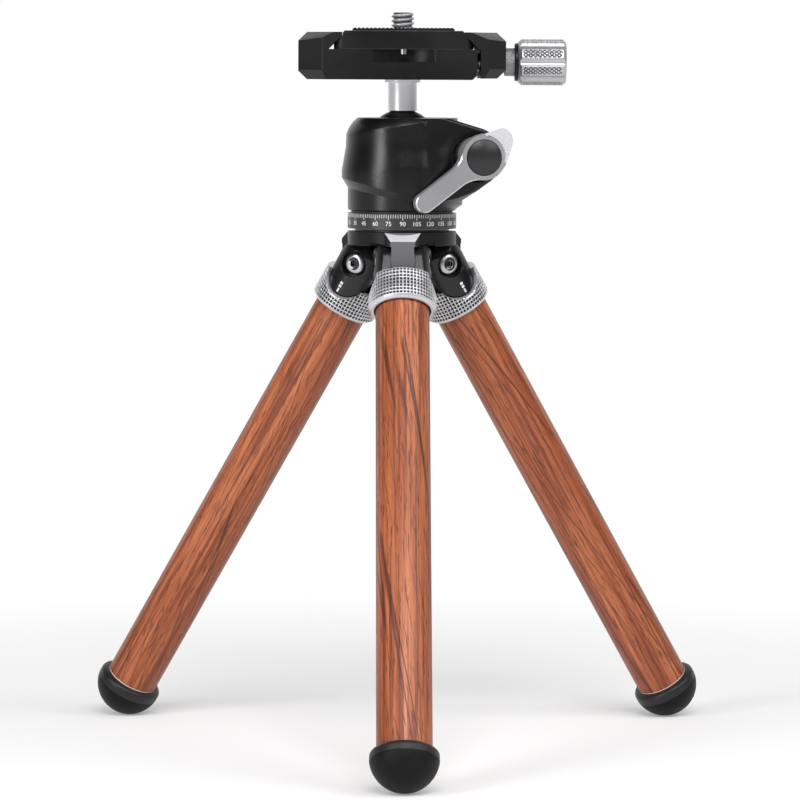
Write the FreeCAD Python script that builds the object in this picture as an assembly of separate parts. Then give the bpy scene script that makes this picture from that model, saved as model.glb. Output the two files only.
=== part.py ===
import FreeCAD, Part

import math
import os

from FreeCAD import Placement, Rotation, Vector

# Mini tripod with a ball head and a quick-release clamp, in millimetres.
# Origin: on the tripod's axis, on the surface that the three feet stand on.
# +Z is up, one leg points along -Y, and the clamp's knob points along +X.

# Legs
LEG_AZIMUTHS = {"front": -90.0, "right": 30.0, "left": 150.0}
LEG_SPREAD = 32.4          # angle between a leg and the vertical as it stands
PIVOT_RADIUS = 11.0        # from the tripod's axis to each leg's pivot
LEG_REACH = 147.4          # from the pivot, along the leg, to the foot's rim
TUBE_DIAMETER = 14.7
TUBE_WALL = 1.5
TUBE_START = 12.0          # from the pivot, along the leg, to the tube's top
GLUE_GAP = 0.02            # between pieces that are glued one in the other
RUNNING_GAP = 0.04         # radial clearance of a pin that turns in its hole
FACE_GAP = 0.02            # between flat faces that slide on each other

# Feet
FOOT_DIAMETER = 18.35
FOOT_DOME_RADIUS = 9.25
FOOT_BAND = 2.8            # height of the band above the rim
FOOT_SHOULDER = 1.4        # rounding at the band's top
FOOT_CUP = 1.2             # how far the tube goes in past the rim
PLUG_LENGTH = 11.0
PLUG_STUD_DIAMETER = 5.0
PLUG_STUD_LENGTH = 3.6

# Forks
FORK_GAP = 7.0             # width between the two cheeks
FORK_HEAD_RADIUS = 6.3
FORK_LOBE_RADIUS = 6.0
FORK_LOBE_DROP = 3.6       # from the pivot to the centre of the lower lobe
FORK_CHEEK_RADIUS = 8.2    # of the cheeks' rounded outer faces, about the leg's axis
FORK_NOSE_RADIUS = 8.9     # of the rounding about the pivot
FORK_CROTCH = 6.5          # from the pivot to the floor of the gap
FORK_SPIGOT = 14.0         # length glued inside the tube
SEAT_DIAMETER = 7.6        # recess for the pivot screw's head
SEAT_PLANE = 5.6           # from the leg's mid-plane to the recess floor

# Pivot screws
PIVOT_BARREL_DIAMETER = 4.4
PIVOT_SHANK_DIAMETER = 3.0
PIVOT_HEAD_DIAMETER = 6.4
PIVOT_HEAD_HEIGHT = 1.9
PIVOT_HEAD_ROUND = 1.4     # rounding of the head's rim
PIVOT_BORE_DEPTH = 10.1    # of the sleeve's bore, from its open end
PIVOT_SHANK_LENGTH = 9.5   # of the screw below its head
PIVOT_SOCKET = 2.0         # across the flats
PIVOT_SOCKET_DEPTH = 1.2
PIVOT_WASHER_DIAMETER = 10.4

# Locking collars
COLLAR_DIAMETER = 18.7
COLLAR_CLEARANCE = 0.35    # between the collar's bore and the tube
COLLAR_TOP = 5.6           # from the pivot to the top of the collar's tongues
COLLAR_BOTTOM = 14.6
COLLAR_TOP_BEVEL = 0.45
COLLAR_BEVEL = 0.9         # at the collar's lower end
COLLAR_NOTCH_GAP = 0.3     # round the cheek in the collar's notch
SEAL_WIDTH = 1.1
SEAL_DEPTH = 0.6           # into the collar's wall

# Hub
HUB_RADIUS = 15.0
HUB_RISE = 9.1             # from the pivots up to the hub's top
HUB_RIM = 3.7              # height of the hub's rim
LUG_REACH = 17.2           # from the tripod's axis to each lug's outer face
LUG_WIDTH = 6.2            # where the fork straddles it
LUG_TOP_WIDTH = 9.9
LUG_FACE_WIDTH = 6.8
LUG_BEVEL_HEIGHT = 2.3
POCKET_GAP = 0.25          # between the fork's head and its pocket in the hub
COLUMN_RADIUS = 5.1
COLUMN_DROP = 3.8          # from the pivots down to the column's end

# Centre screw
HUB_SCREW_DIAMETER = 5.0
HUB_SCREW_HEAD_DIAMETER = 8.0
HUB_SCREW_HEAD_HEIGHT = 4.0
HUB_SCREW_RECESS = 0.4
HUB_SCREW_SOCKET = 4.0
HUB_SCREW_SOCKET_DEPTH = 2.2
HUB_SCREW_TIP = 2.0        # that it stays short of the pan spigot's top

# Panning base
RING_DIAMETER = 30.0
RING_HEIGHT = 4.3
RING_SEAT_HEIGHT = 0.8     # of the neck below the ring
RING_SEAT_DIAMETER = 26.0
PAN_SEAM = 0.65            # between the ring and the housing
PAN_WASHER_BORE_RADIUS = 12.0
PAN_WASHER_RADIUS = 14.0
SPIGOT_RADIUS = 9.0
SPIGOT_HEIGHT = 4.5
SPIGOT_FLANGE_RADIUS = 10.4
SPIGOT_FLANGE_HEIGHT = 1.3
RETAINER_RADIUS = 11.6
RETAINER_HEIGHT = 2.3

# Ball and its seat
BALL_RADIUS = 10.0
BALL_GAP = 0.05            # between the ball and its cavity
BALL_RISE = 18.5           # from the ring's top to the ball's centre
OPENING_ANGLE = 41.9       # of the opening, measured at the ball's centre
BORE_RADIUS = 10.3         # of the bore below the ball
CUP_HOLE_RADIUS = 6.5
CUP_TOP_DROP = 4.4         # from the ball's centre to the cup's top
CUP_BOTTOM_DROP = 9.7
WAVE_SPRING_HEIGHT = 1.5
WAVE_SPRING_RADIUS = 10.0
WAVE_SPRING_BORE_RADIUS = 7.3
CUP_NUT_HEIGHT = 2.2
STEM_DIAMETER = 7.9
STEM_START = 9.6           # from the ball's centre to the stem's lower end
STEM_LENGTH = 7.8
STEM_NECK_DIAMETER = 7.0
STEM_SPIGOT_DIAMETER = 4.0  # of the stem's lower end inside the ball
FLANGE_DIAMETER = 9.8
FLANGE_HEIGHT = 0.8
DROP_SLOT_GAP = 0.35       # each side of the stem in the portrait slot

# Housing
HOUSING_RADIUS = 16.7
HOUSING_HEIGHT = 25.5
HOUSING_BASE_RADIUS = 15.0
HOUSING_CORE_HEIGHT = 20.0  # of the base's round core, which ends inside the wide body
SKIRT_HEIGHT = 4.0         # height at the axis where the wide body starts
SKIRT_TILT = 11.5          # angle of the wide body's lower edge
SKIRT_STEP = 1.8           # height of the taper between base and body
TAPER_HEIGHT = 11.0        # where the body starts to get narrower
WAIST_HEIGHT = 17.5        # where the stronger part of the taper ends
WAIST_RADIUS = 15.6
HOUSING_TOP_RADIUS = 15.3
SHOULDER_HEIGHT = 23.5     # height at the axis where the rounded shoulder starts
SHOULDER_RADIUS = 15.4     # from the axis to where it starts
SHOULDER_TILT = 7.5
SHOULDER_FOOT_SLOPE = 64.0  # where the rounding starts
SHOULDER_TOP_SLOPE = 20.0  # where it ends
SHOULDER_ROUND = 8.2       # radius of the rounding
HOUSING_EDGE = 0.4
LOBE_RADIUS = 8.1
LOBE_DROP = 2.9            # from the ball's centre to the lobe's axis
LOBE_FACE_TURN = 12.0      # angle between the lobe's front face and the lever's plane
LOBE_BACK = 8.5
LOBE_ROOT = 10.5           # from the tripod's axis to where the lobe's lower side starts
LOBE_ROOT_LIFT = 0.9       # of that place above the housing's underside
LOBE_TOP_ROOT = 9.8        # from the tripod's axis to where the lobe's upper side starts
LOBE_TOP_DROP = 0.05       # of that place below the housing's top
LOBE_EDGE = 1.0            # rounding of the lobe's rims
SLIT_WIDTH = 0.8
SLIT_START = 5.0           # from the tripod's axis, inside the ball's space
SLIT_BOTTOM_DROP = 11.0    # from the ball's centre to the slit's lower end

# Lever and its bolt
LEVER_TURN = 15.0          # how far the lever's axis is turned from straight ahead
LEVER_OFFSET = 17.5        # from the tripod's axis to the lever's axis
LEVER_DROP = 2.9           # from the ball's centre to the lever's axis
LEVER_SEAT = 9.8           # from the slit to the floor of the lever's pocket
LEVER_BOSS_RADIUS = 6.2
LEVER_HUB_RADIUS = 5.4
LEVER_THICKNESS = 3.2
LEVER_CLEAR = 0.5          # between the arm and the housing
LEVER_ARM_LENGTH = 20.75   # from the axis to the centre of the arm's round end
LEVER_ARM_ANGLE = 216.7
LEVER_ARM_WIDTH = 5.3
LEVER_BLEND = 8.0
LEVER_EAR_BEND = 36.0
LEVER_EAR_START = 4.0
LEVER_EAR_LENGTH = 10.0    # from the axis to the centre of the ear's round tip
LEVER_EAR_TIP = 2.9
LEVER_EDGE = 0.35
LEVER_POCKET_RADIUS = 7.0
LEVER_WASHER_HEIGHT = 0.5
CAP_RADIUS = 4.8
CAP_GAP = 0.2
CAP_SINK = 1.6
CAP_RISE = 1.1
CAP_EDGE_RISE = 0.17       # of the cap's rim above the lever's face
BOLT_DIAMETER = 5.0
BOLT_TIP = 0.6             # that the bolt stays short of the cap
NUT_WIDTH = 8.0
NUT_HEIGHT = 3.0

# Quick-release plate
PLATE_WIDTH = 38.0
PLATE_LENGTH = 38.0
PLATE_HEIGHT = 5.0
PLATE_EDGE = 1.3           # height of the upright edge below the dovetail
DOVETAIL_DEPTH = 2.4
PLATE_TOP_BEVEL = 0.6
PLATE_CORNER = 3.0
PAD_WIDTH = 27.7
PAD_LENGTH = 36.0
PAD_HEIGHT = 0.8
PAD_CORNER = 2.0
PAD_HOLE_RADIUS = 5.6
CAMERA_SCREW_DIAMETER = 6.35
CAMERA_SCREW_PROUD = 4.3
CAMERA_SCREW_TIP = 0.6
CAMERA_HOLE_GAP = 0.3
SCREW_HEAD_RADIUS = 6.0
SCREW_HEAD_HEIGHT = 2.2
SCREW_HEAD_GAP = 0.25
COIN_SLOT_WIDTH = 1.6
COIN_SLOT_DEPTH = 1.1
CLIP_OUTER_RADIUS = 4.6
CLIP_GROOVE_DEPTH = 0.45
CLIP_HEIGHT = 0.5
CLIP_MOUTH = 3.3           # width of the split in the ring
STOP_DIAMETER = 2.2
STOP_INSET = 1.6           # from the plate's end to the stop screw's centre
STOP_PROUD = 1.4
STOP_DEPTH = 3.0

# Clamp
CLAMP_RISE = 18.2          # from the ball's centre to the clamp's underside
CLAMP_LENGTH = 38.0
CLAMP_HEIGHT = 12.9
CLAMP_LEFT = 28.7
CLAMP_RIGHT = 28.0
CLAMP_SPLIT = 20.0         # where the body ends and the gap to the jaw starts
CLAMP_JAW_GAP = 1.0
CLAMP_FLOOR = 8.25         # thickness below the channel
PLATE_LIFT = 0.05          # of the plate above the channel's floor
GRIP_GAP = 0.1             # between the jaws' slopes and the plate's dovetail
CORNER_LEFT = 6.6
CORNER_RIGHT = 4.9
CLAMP_BEVEL = 2.4          # width of the bevels round the clamp
CLAMP_BEVEL_HEIGHT = 2.4   # of the upper bevels at the clamp's two ends
CLAMP_SIDE_BEVEL_HEIGHT = 2.8
CLAMP_END_BEVEL_HEIGHT = 2.3
FACET_TURN = 36.0          # of the wide corner facets away from the clamp's length
FACET_LEFT = 9.8           # from the left end to where the facet meets the front's top
FACET_LEFT_SLOPE = 30.7
FACET_RIGHT = 9.7
FACET_RIGHT_SLOPE = 26.3
CLAMP_EDGE = 1.0
SPLIT_BEVEL = 1.2
JAW_BOTTOM_LIFT = 0.4
SCOOP_WIDTH = 17.0
SCOOP_EDGE = 0.8
SCOOP_RADIUS = 12.0
SCOOP_DEPTH = 3.45
KNOB_DROP = 3.35           # from the channel's floor to the knob's axis
JAW_SCREW_DIAMETER = 5.0
JAW_SCREW_END = 6.0        # from the tripod's axis to the jaw screw's tip
JAW_SCREW_ROOM = 1.0       # of the hole past the screw's tip
BUSH_DIAMETER = 7.7
BUSH_LENGTH = 2.9
KNOB_DIAMETER = 12.8
KNOB_LENGTH = 13.2
KNOB_SCREW_DEPTH = 8.5     # length of the jaw screw inside the knob
KNOB_BORE_ROOM = 0.8       # of the knob's bore past the screw's end
KNOB_EDGE = 0.9
KNOB_FLUTES = 8
KNOB_FLUTE_RADIUS = 1.5
KNOB_FLUTE_DEPTH = 0.55
KNOB_RING_DIAMETER = 10.4
KNOB_RING_HEIGHT = 0.9
GUIDE_DIAMETER = 2.5
GUIDE_SPACING = 24.0
GUIDE_DEPTH = 9.0          # of the holes that the pins slide in
GUIDE_ROOM = 1.0           # of those holes past the pins' ends
GUIDE_HOLD = 4.5           # length of the pins inside the jaw
JAW_SPRING_WIRE = 0.5
JAW_SPRING_DIAMETER = 4.2
JAW_SPRING_POCKET = 3.5
JAW_SPRING_TURNS = 3
CLAMP_SCREW_DIAMETER = 5.0
CLAMP_SCREW_HEAD = 9.0
CLAMP_SCREW_HEAD_HEIGHT = 2.6
CLAMP_SCREW_DEPTH = 4.0    # into the stem
CLAMP_SCREW_SINK = 0.5     # of its head below the channel's floor
CLAMP_SCREW_RIM = 0.4      # height of the head's upright rim
CLAMP_SCREW_SOCKET = 3.0   # across the flats
CLAMP_SCREW_SOCKET_DEPTH = 1.6

# Places that follow from the sizes above
SPREAD = math.radians(LEG_SPREAD)
DOME_LIFT = math.sqrt(FOOT_DOME_RADIUS ** 2 - (FOOT_DIAMETER / 2) ** 2)
PIVOT_Z = (LEG_REACH - DOME_LIFT) * math.cos(SPREAD) + FOOT_DOME_RADIUS
HUB_TOP = PIVOT_Z + HUB_RISE
RING_BOTTOM = HUB_TOP + RING_SEAT_HEIGHT
RING_TOP = RING_BOTTOM + RING_HEIGHT
HOUSING_BOTTOM = RING_TOP + PAN_SEAM
HOUSING_TOP = HOUSING_BOTTOM + HOUSING_HEIGHT
BALL_Z = RING_TOP + BALL_RISE
LEVER_Z = BALL_Z - LEVER_DROP
LOBE_Z = BALL_Z - LOBE_DROP
STEM_BOTTOM = BALL_Z + STEM_START
STEM_TOP = STEM_BOTTOM + STEM_LENGTH
CLAMP_BOTTOM = BALL_Z + CLAMP_RISE
CLAMP_TOP = CLAMP_BOTTOM + CLAMP_HEIGHT
CHANNEL_Z = CLAMP_BOTTOM + CLAMP_FLOOR
PLATE_Z = CHANNEL_Z + PLATE_LIFT
PLATE_TOP = PLATE_Z + PLATE_HEIGHT
PAD_TOP = PLATE_TOP + PAD_HEIGHT
SCREW_TOP = PAD_TOP + CAMERA_SCREW_PROUD
KNOB_Z = CHANNEL_Z - KNOB_DROP
TUBE_RADIUS = TUBE_DIAMETER / 2
TUBE_BORE = TUBE_RADIUS - TUBE_WALL
TUBE_END = LEG_REACH + FOOT_CUP
COLLAR_BORE = TUBE_RADIUS + COLLAR_CLEARANCE
LEVER_BACK = HOUSING_RADIUS + LEVER_CLEAR
LEVER_FACE = LEVER_BACK + LEVER_THICKNESS

X_AXIS = Vector(1, 0, 0)
Y_AXIS = Vector(0, 1, 0)
Z_AXIS = Vector(0, 0, 1)
ORIGIN = Vector(0, 0, 0)
REACH = 60.0               # longer than any piece that a cutting tool passes through
OVERRUN = 1.0              # that a cutting tool goes past the face that it opens
SAME = 0.01                # within which two places count as one


# Shapes that every piece uses

def cylinder(radius, start, end):
    """A cylinder on the Z axis between two heights."""
    return Part.makeCylinder(radius, end - start, Vector(0, 0, start))


def cylinder_along(radius, start, end, axis):
    """A cylinder from one point, along an axis, for a signed distance."""
    length = end - start
    return Part.makeCylinder(radius, length, axis * start, axis)


def tube(outer, inner, start, end):
    """A ring on the Z axis between two heights."""
    return cylinder(outer, start, end).cut(cylinder(inner, start, end))


def block(x_range, y_range, z_range):
    """A box from its ranges along the three axes."""
    size = [high - low for low, high in (x_range, y_range, z_range)]
    return Part.makeBox(*size, Vector(x_range[0], y_range[0], z_range[0]))


def turned(profile):
    """A solid turned about the Z axis from (radius, height) corners."""
    corners = [Vector(radius, 0, height) for radius, height in profile]
    face = Part.Face(Part.makePolygon(corners + corners[:1]))
    return face.revolve(ORIGIN, Z_AXIS, 360)


def prism(corners, direction):
    """A solid from flat corners, pushed along a direction."""
    face = Part.Face(Part.makePolygon(corners + corners[:1]))
    return face.extrude(direction)


def hexagon(width, start, end):
    """A hexagonal bar on the Z axis, given across its flats."""
    radius = width / math.sqrt(3)
    angles = [math.radians(60 * step) for step in range(6)]
    corners = [Vector(radius * math.cos(a), radius * math.sin(a), start) for a in angles]
    return prism(corners, Vector(0, 0, end - start))


def pill(radius_a, radius_b, distance, depth):
    """Two discs of any radius and the straight sides that touch both, pushed along Z.

    The first disc is at the origin and the second one along +X.
    """
    lean = math.asin((radius_a - radius_b) / distance)
    points = []
    for radius, centre in ((radius_a, 0.0), (radius_b, distance)):
        for side in (1, -1):
            x = centre + radius * math.sin(lean)
            points.append(Vector(x, side * radius * math.cos(lean), 0))
    upper_a, lower_a, upper_b, lower_b = points
    edges = [
        Part.LineSegment(upper_a, upper_b).toShape(),
        Part.Arc(upper_b, Vector(distance + radius_b, 0, 0), lower_b).toShape(),
        Part.LineSegment(lower_b, lower_a).toShape(),
        Part.Arc(lower_a, Vector(-radius_a, 0, 0), upper_a).toShape(),
    ]
    return Part.Face(Part.Wire(edges)).extrude(Vector(0, 0, depth))


def placed(shape, rotation, position=ORIGIN):
    """A turned and moved copy of a shape."""
    moved = shape.copy()
    moved.Placement = Placement(position, rotation).multiply(moved.Placement)
    return moved


def edges_where(shape, test):
    """The edges that pass a test on the edge and its middle point."""
    found = []
    for edge in shape.Edges:
        middle = edge.valueAt((edge.FirstParameter + edge.LastParameter) / 2)
        if test(edge, middle):
            found.append(edge)
    return found


def is_upright(edge):
    """Whether an edge is a straight one that runs along Z."""
    ends = [vertex.Point for vertex in edge.Vertexes]
    if len(ends) != 2:
        return False
    run = ends[1] - ends[0]
    return abs(run.z) > SAME and math.hypot(run.x, run.y) < SAME


def cut_off(body, point, normal):
    """A body without what lies on a plane's far side, the side that the normal points to."""
    waste = Part.makeBox(2 * REACH, 2 * REACH, REACH, Vector(-REACH, -REACH, 0))
    return body.cut(placed(waste, Rotation(Z_AXIS, normal), point))


def tangent_point(centre, radius, outside, side):
    """Where a line from an outside point touches a circle; side is 1 for anticlockwise."""
    run = (outside[0] - centre[0], outside[1] - centre[1])
    angle = math.atan2(run[1], run[0]) + side * math.acos(radius / math.hypot(*run))
    return (centre[0] + radius * math.cos(angle), centre[1] + radius * math.sin(angle))


# Leg pieces. They are drawn on a leg that hangs straight down from a pivot at the
# origin: -Z runs down the leg, +X is the side that faces outward, Y is the pivot's axis.

def leg_tube():
    """The hollow leg between the collar and the foot."""
    return tube(TUBE_RADIUS, TUBE_BORE, -TUBE_END, -TUBE_START)


def foot():
    """The rubber foot: a dome below the rim and a rounded band above it."""
    rim = FOOT_DIAMETER / 2
    band_top = -LEG_REACH + FOOT_BAND
    centre = -LEG_REACH + DOME_LIFT
    ball_part = Part.makeSphere(FOOT_DOME_RADIUS, Vector(0, 0, centre))
    dome = ball_part.common(cylinder(rim, centre - FOOT_DOME_RADIUS, -LEG_REACH))
    band = cylinder(rim, -LEG_REACH, band_top)
    top_edge = edges_where(band, lambda edge, middle: abs(middle.z - band_top) < SAME)
    band = band.makeFillet(FOOT_SHOULDER, top_edge)
    cup = cylinder(TUBE_RADIUS + GLUE_GAP, -TUBE_END - GLUE_GAP, band_top)
    stud = cylinder(PLUG_STUD_DIAMETER / 2 + GLUE_GAP, -TUBE_END - PLUG_STUD_LENGTH - GLUE_GAP, -TUBE_END)
    return band.fuse(dome).removeSplitter().cut(cup).cut(stud)


def foot_plug():
    """The metal plug in the tube's end, with the stud that the foot is pushed on."""
    body = cylinder(TUBE_BORE - GLUE_GAP, -TUBE_END, -TUBE_END + PLUG_LENGTH)
    stud = cylinder(PLUG_STUD_DIAMETER / 2, -TUBE_END - PLUG_STUD_LENGTH, -TUBE_END)
    return body.fuse(stud).removeSplitter()


def cheek_outline(growth):
    """The side view of the fork's cheeks, made larger all round, through the whole leg."""
    head = FORK_HEAD_RADIUS + growth
    lobe = FORK_LOBE_RADIUS + growth
    shape = pill(head, lobe, FORK_LOBE_DROP, REACH)
    shape.translate(Vector(0, 0, -REACH / 2))
    return placed(shape, Rotation(-Z_AXIS, -X_AXIS, Y_AXIS, "XZY"))


def fork():
    """The black clevis at the top of the leg, with its spigot inside the tube."""
    cheeks = cheek_outline(0).common(cylinder(FORK_CHEEK_RADIUS, -REACH, REACH))
    cheeks = cheeks.common(Part.makeSphere(FORK_NOSE_RADIUS).fuse(
        cylinder(FORK_CHEEK_RADIUS, -REACH, -FORK_LOBE_DROP)))
    base = cylinder(TUBE_RADIUS, -TUBE_START + FACE_GAP, -FORK_LOBE_DROP)
    base = base.common(block((-REACH, REACH), (-REACH, REACH), (-REACH, -FORK_CROTCH)))
    spigot = cylinder(TUBE_BORE - GLUE_GAP, -TUBE_START - FORK_SPIGOT, -TUBE_START + FACE_GAP)
    body = cheeks.fuse([base, spigot])
    half_gap = FORK_GAP / 2
    gap = block((-REACH, REACH), (-half_gap, half_gap), (-FORK_CROTCH, REACH))
    body = body.cut(gap)
    for side in (1, -1):
        seat = cylinder_along(SEAT_DIAMETER / 2, SEAT_PLANE, REACH, Y_AXIS * side)
        body = body.cut(seat)
    bore = cylinder_along(PIVOT_BARREL_DIAMETER / 2 + GLUE_GAP, -REACH, REACH, Y_AXIS)
    return body.cut(bore).removeSplitter()


def button_head(side):
    """A round screw head with a hexagonal socket, on one side of the fork."""
    radius = PIVOT_HEAD_DIAMETER / 2
    head = cylinder(radius, 0, PIVOT_HEAD_HEIGHT)
    rim = edges_where(head, lambda edge, middle: abs(middle.z - PIVOT_HEAD_HEIGHT) < SAME)
    head = head.makeFillet(PIVOT_HEAD_ROUND, rim)
    socket = hexagon(PIVOT_SOCKET, PIVOT_HEAD_HEIGHT - PIVOT_SOCKET_DEPTH, PIVOT_HEAD_HEIGHT)
    head = placed(head.cut(socket), Rotation(Z_AXIS, Y_AXIS * side))
    head.translate(Y_AXIS * side * SEAT_PLANE)
    return head


def pivot_sleeve():
    """The hollow pivot pin with its own head, which the pivot screw goes into."""
    barrel = cylinder_along(PIVOT_BARREL_DIAMETER / 2, -SEAT_PLANE, SEAT_PLANE, Y_AXIS)
    bore = cylinder_along(PIVOT_SHANK_DIAMETER / 2, -SEAT_PLANE, PIVOT_BORE_DEPTH - SEAT_PLANE, Y_AXIS)
    return barrel.cut(bore).fuse(button_head(1)).removeSplitter()


def pivot_screw():
    """The screw that closes the pivot from the other side."""
    radius = PIVOT_SHANK_DIAMETER / 2 - GLUE_GAP
    shank = cylinder_along(radius, -SEAT_PLANE, PIVOT_SHANK_LENGTH - SEAT_PLANE, Y_AXIS)
    return shank.fuse(button_head(-1)).removeSplitter()


def pivot_washers():
    """Two thin friction washers between the hub's lug and the fork's cheeks."""
    inner = LUG_WIDTH / 2 + FACE_GAP
    outer = FORK_GAP / 2 - FACE_GAP
    hole = PIVOT_BARREL_DIAMETER / 2 + RUNNING_GAP
    washers = []
    for side in (1, -1):
        disc = cylinder_along(PIVOT_WASHER_DIAMETER / 2, inner, outer, Y_AXIS * side)
        washers.append(disc.cut(cylinder_along(hole, inner, outer, Y_AXIS * side)))
    return Part.makeCompound(washers)


def collar():
    """The locking collar: a ring with two tongues and a notch for each cheek."""
    radius = COLLAR_DIAMETER / 2
    body = turned([
        (COLLAR_BORE, -COLLAR_TOP),
        (radius - COLLAR_TOP_BEVEL, -COLLAR_TOP),
        (radius, -COLLAR_TOP - COLLAR_TOP_BEVEL),
        (radius, -COLLAR_BOTTOM + COLLAR_BEVEL),
        (radius - COLLAR_BEVEL, -COLLAR_BOTTOM),
        (COLLAR_BORE, -COLLAR_BOTTOM),
    ])
    groove_radius = COLLAR_BORE + SEAL_DEPTH
    groove = cylinder(groove_radius, -COLLAR_BOTTOM, -COLLAR_BOTTOM + SEAL_WIDTH)
    return body.cut(cheek_outline(COLLAR_NOTCH_GAP)).cut(groove)


def collar_seal():
    """The rubber ring that closes the gap between collar and tube and gives it drag."""
    outer = COLLAR_BORE + SEAL_DEPTH - GLUE_GAP
    start = -COLLAR_BOTTOM + GLUE_GAP
    return tube(outer, TUBE_RADIUS + RUNNING_GAP, start, start + SEAL_WIDTH - 2 * GLUE_GAP)


def on_leg(shape, azimuth):
    """A leg piece moved to its leg as the tripod stands."""
    leaned = placed(shape, Rotation(Y_AXIS, -LEG_SPREAD), Vector(PIVOT_RADIUS, 0, PIVOT_Z))
    return placed(leaned, Rotation(Z_AXIS, azimuth))


# Hub pieces

def lug():
    """One of the hub's lugs, drawn along +X: it carries a leg's pivot."""
    bevel_start = HUB_TOP - LUG_BEVEL_HEIGHT
    rim_bottom = HUB_TOP - HUB_RIM
    half_top = LUG_TOP_WIDTH / 2
    half_face = LUG_FACE_WIDTH / 2
    root = math.sqrt(HUB_RADIUS ** 2 - half_top ** 2)
    flare = prism([
        Vector(0, -half_top, rim_bottom),
        Vector(root, -half_top, rim_bottom),
        Vector(LUG_REACH, -half_face, rim_bottom),
        Vector(LUG_REACH, half_face, rim_bottom),
        Vector(root, half_top, rim_bottom),
        Vector(0, half_top, rim_bottom),
    ], Vector(0, 0, HUB_RIM))
    half_width = LUG_WIDTH / 2
    reach = LUG_REACH - PIVOT_RADIUS
    web = block((0, LUG_REACH), (-half_width, half_width), (PIVOT_Z, HUB_TOP))
    foot_round = cylinder_along(reach, -half_width, half_width, Y_AXIS)
    foot_round.translate(Vector(PIVOT_RADIUS, 0, PIVOT_Z))
    bevel = prism([
        Vector(root, -REACH / 2, HUB_TOP),
        Vector(LUG_REACH, -REACH / 2, bevel_start),
        Vector(LUG_REACH + REACH, -REACH / 2, bevel_start),
        Vector(LUG_REACH + REACH, -REACH / 2, HUB_TOP),
    ], Vector(0, REACH, 0))
    return flare.fuse([web, foot_round]).cut(bevel)


def hub():
    """The hub that the legs pivot on, with pockets for the forks' heads."""
    body = cylinder(HUB_RADIUS, HUB_TOP - HUB_RIM, HUB_TOP)
    column = cylinder(COLUMN_RADIUS, PIVOT_Z - COLUMN_DROP, HUB_TOP)
    lugs = [placed(lug(), Rotation(Z_AXIS, angle)) for angle in LEG_AZIMUTHS.values()]
    body = body.fuse([column] + lugs)
    half_gap = FORK_GAP / 2 - FACE_GAP
    for angle in LEG_AZIMUTHS.values():
        for side in (1, -1):
            pocket = cylinder_along(FORK_HEAD_RADIUS + POCKET_GAP, half_gap, FORK_NOSE_RADIUS, Y_AXIS * side)
            pocket.translate(Vector(PIVOT_RADIUS, 0, PIVOT_Z))
            body = body.cut(placed(pocket, Rotation(Z_AXIS, angle)))
        bore = cylinder_along(PIVOT_BARREL_DIAMETER / 2 + RUNNING_GAP, -REACH / 2, REACH / 2, Y_AXIS)
        bore.translate(Vector(PIVOT_RADIUS, 0, PIVOT_Z))
        near_lug = block((0, REACH), (-FORK_GAP, FORK_GAP), (0, HUB_TOP))
        body = body.cut(placed(bore.common(near_lug), Rotation(Z_AXIS, angle)))
    head_top = PIVOT_Z - COLUMN_DROP + HUB_SCREW_RECESS + HUB_SCREW_HEAD_HEIGHT
    body = body.cut(cylinder(HUB_SCREW_HEAD_DIAMETER / 2 + GLUE_GAP, 0, head_top))
    return body.cut(cylinder(HUB_SCREW_DIAMETER / 2 + GLUE_GAP, 0, HUB_TOP)).removeSplitter()


def hub_screw():
    """The socket screw that pulls the panning base onto the hub from below."""
    start = PIVOT_Z - COLUMN_DROP + HUB_SCREW_RECESS
    head_top = start + HUB_SCREW_HEAD_HEIGHT - GLUE_GAP
    head = cylinder(HUB_SCREW_HEAD_DIAMETER / 2, start, head_top)
    shank = cylinder(HUB_SCREW_DIAMETER / 2, head_top, RING_TOP + SPIGOT_HEIGHT - HUB_SCREW_TIP)
    socket = hexagon(HUB_SCREW_SOCKET, start, start + HUB_SCREW_SOCKET_DEPTH)
    return head.fuse(shank).removeSplitter().cut(socket)


# Panning base

def pan_base():
    """The graduated ring, its neck on the hub and the spigot that the head turns on."""
    spigot_top = RING_TOP + SPIGOT_HEIGHT
    body = turned([
        (0, HUB_TOP),
        (RING_SEAT_DIAMETER / 2, HUB_TOP),
        (RING_SEAT_DIAMETER / 2, RING_BOTTOM),
        (RING_DIAMETER / 2, RING_BOTTOM),
        (RING_DIAMETER / 2, RING_TOP),
        (SPIGOT_RADIUS, RING_TOP),
        (SPIGOT_RADIUS, spigot_top - SPIGOT_FLANGE_HEIGHT),
        (SPIGOT_FLANGE_RADIUS, spigot_top - SPIGOT_FLANGE_HEIGHT),
        (SPIGOT_FLANGE_RADIUS, spigot_top),
        (0, spigot_top),
    ])
    hole_end = spigot_top - HUB_SCREW_TIP + GLUE_GAP
    return body.cut(cylinder(HUB_SCREW_DIAMETER / 2 + GLUE_GAP, HUB_TOP, hole_end))


def pan_washer():
    """The plastic slip washer between the ring and the housing."""
    return tube(PAN_WASHER_RADIUS, PAN_WASHER_BORE_RADIUS, RING_TOP + FACE_GAP, HOUSING_BOTTOM - FACE_GAP)


def pan_retainer():
    """The ring screwed into the housing under the spigot's flange."""
    top = RING_TOP + SPIGOT_HEIGHT - SPIGOT_FLANGE_HEIGHT - FACE_GAP
    return tube(RETAINER_RADIUS - GLUE_GAP, SPIGOT_RADIUS + RUNNING_GAP, top - RETAINER_HEIGHT, top)


# Ball, its seat and its stem

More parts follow.
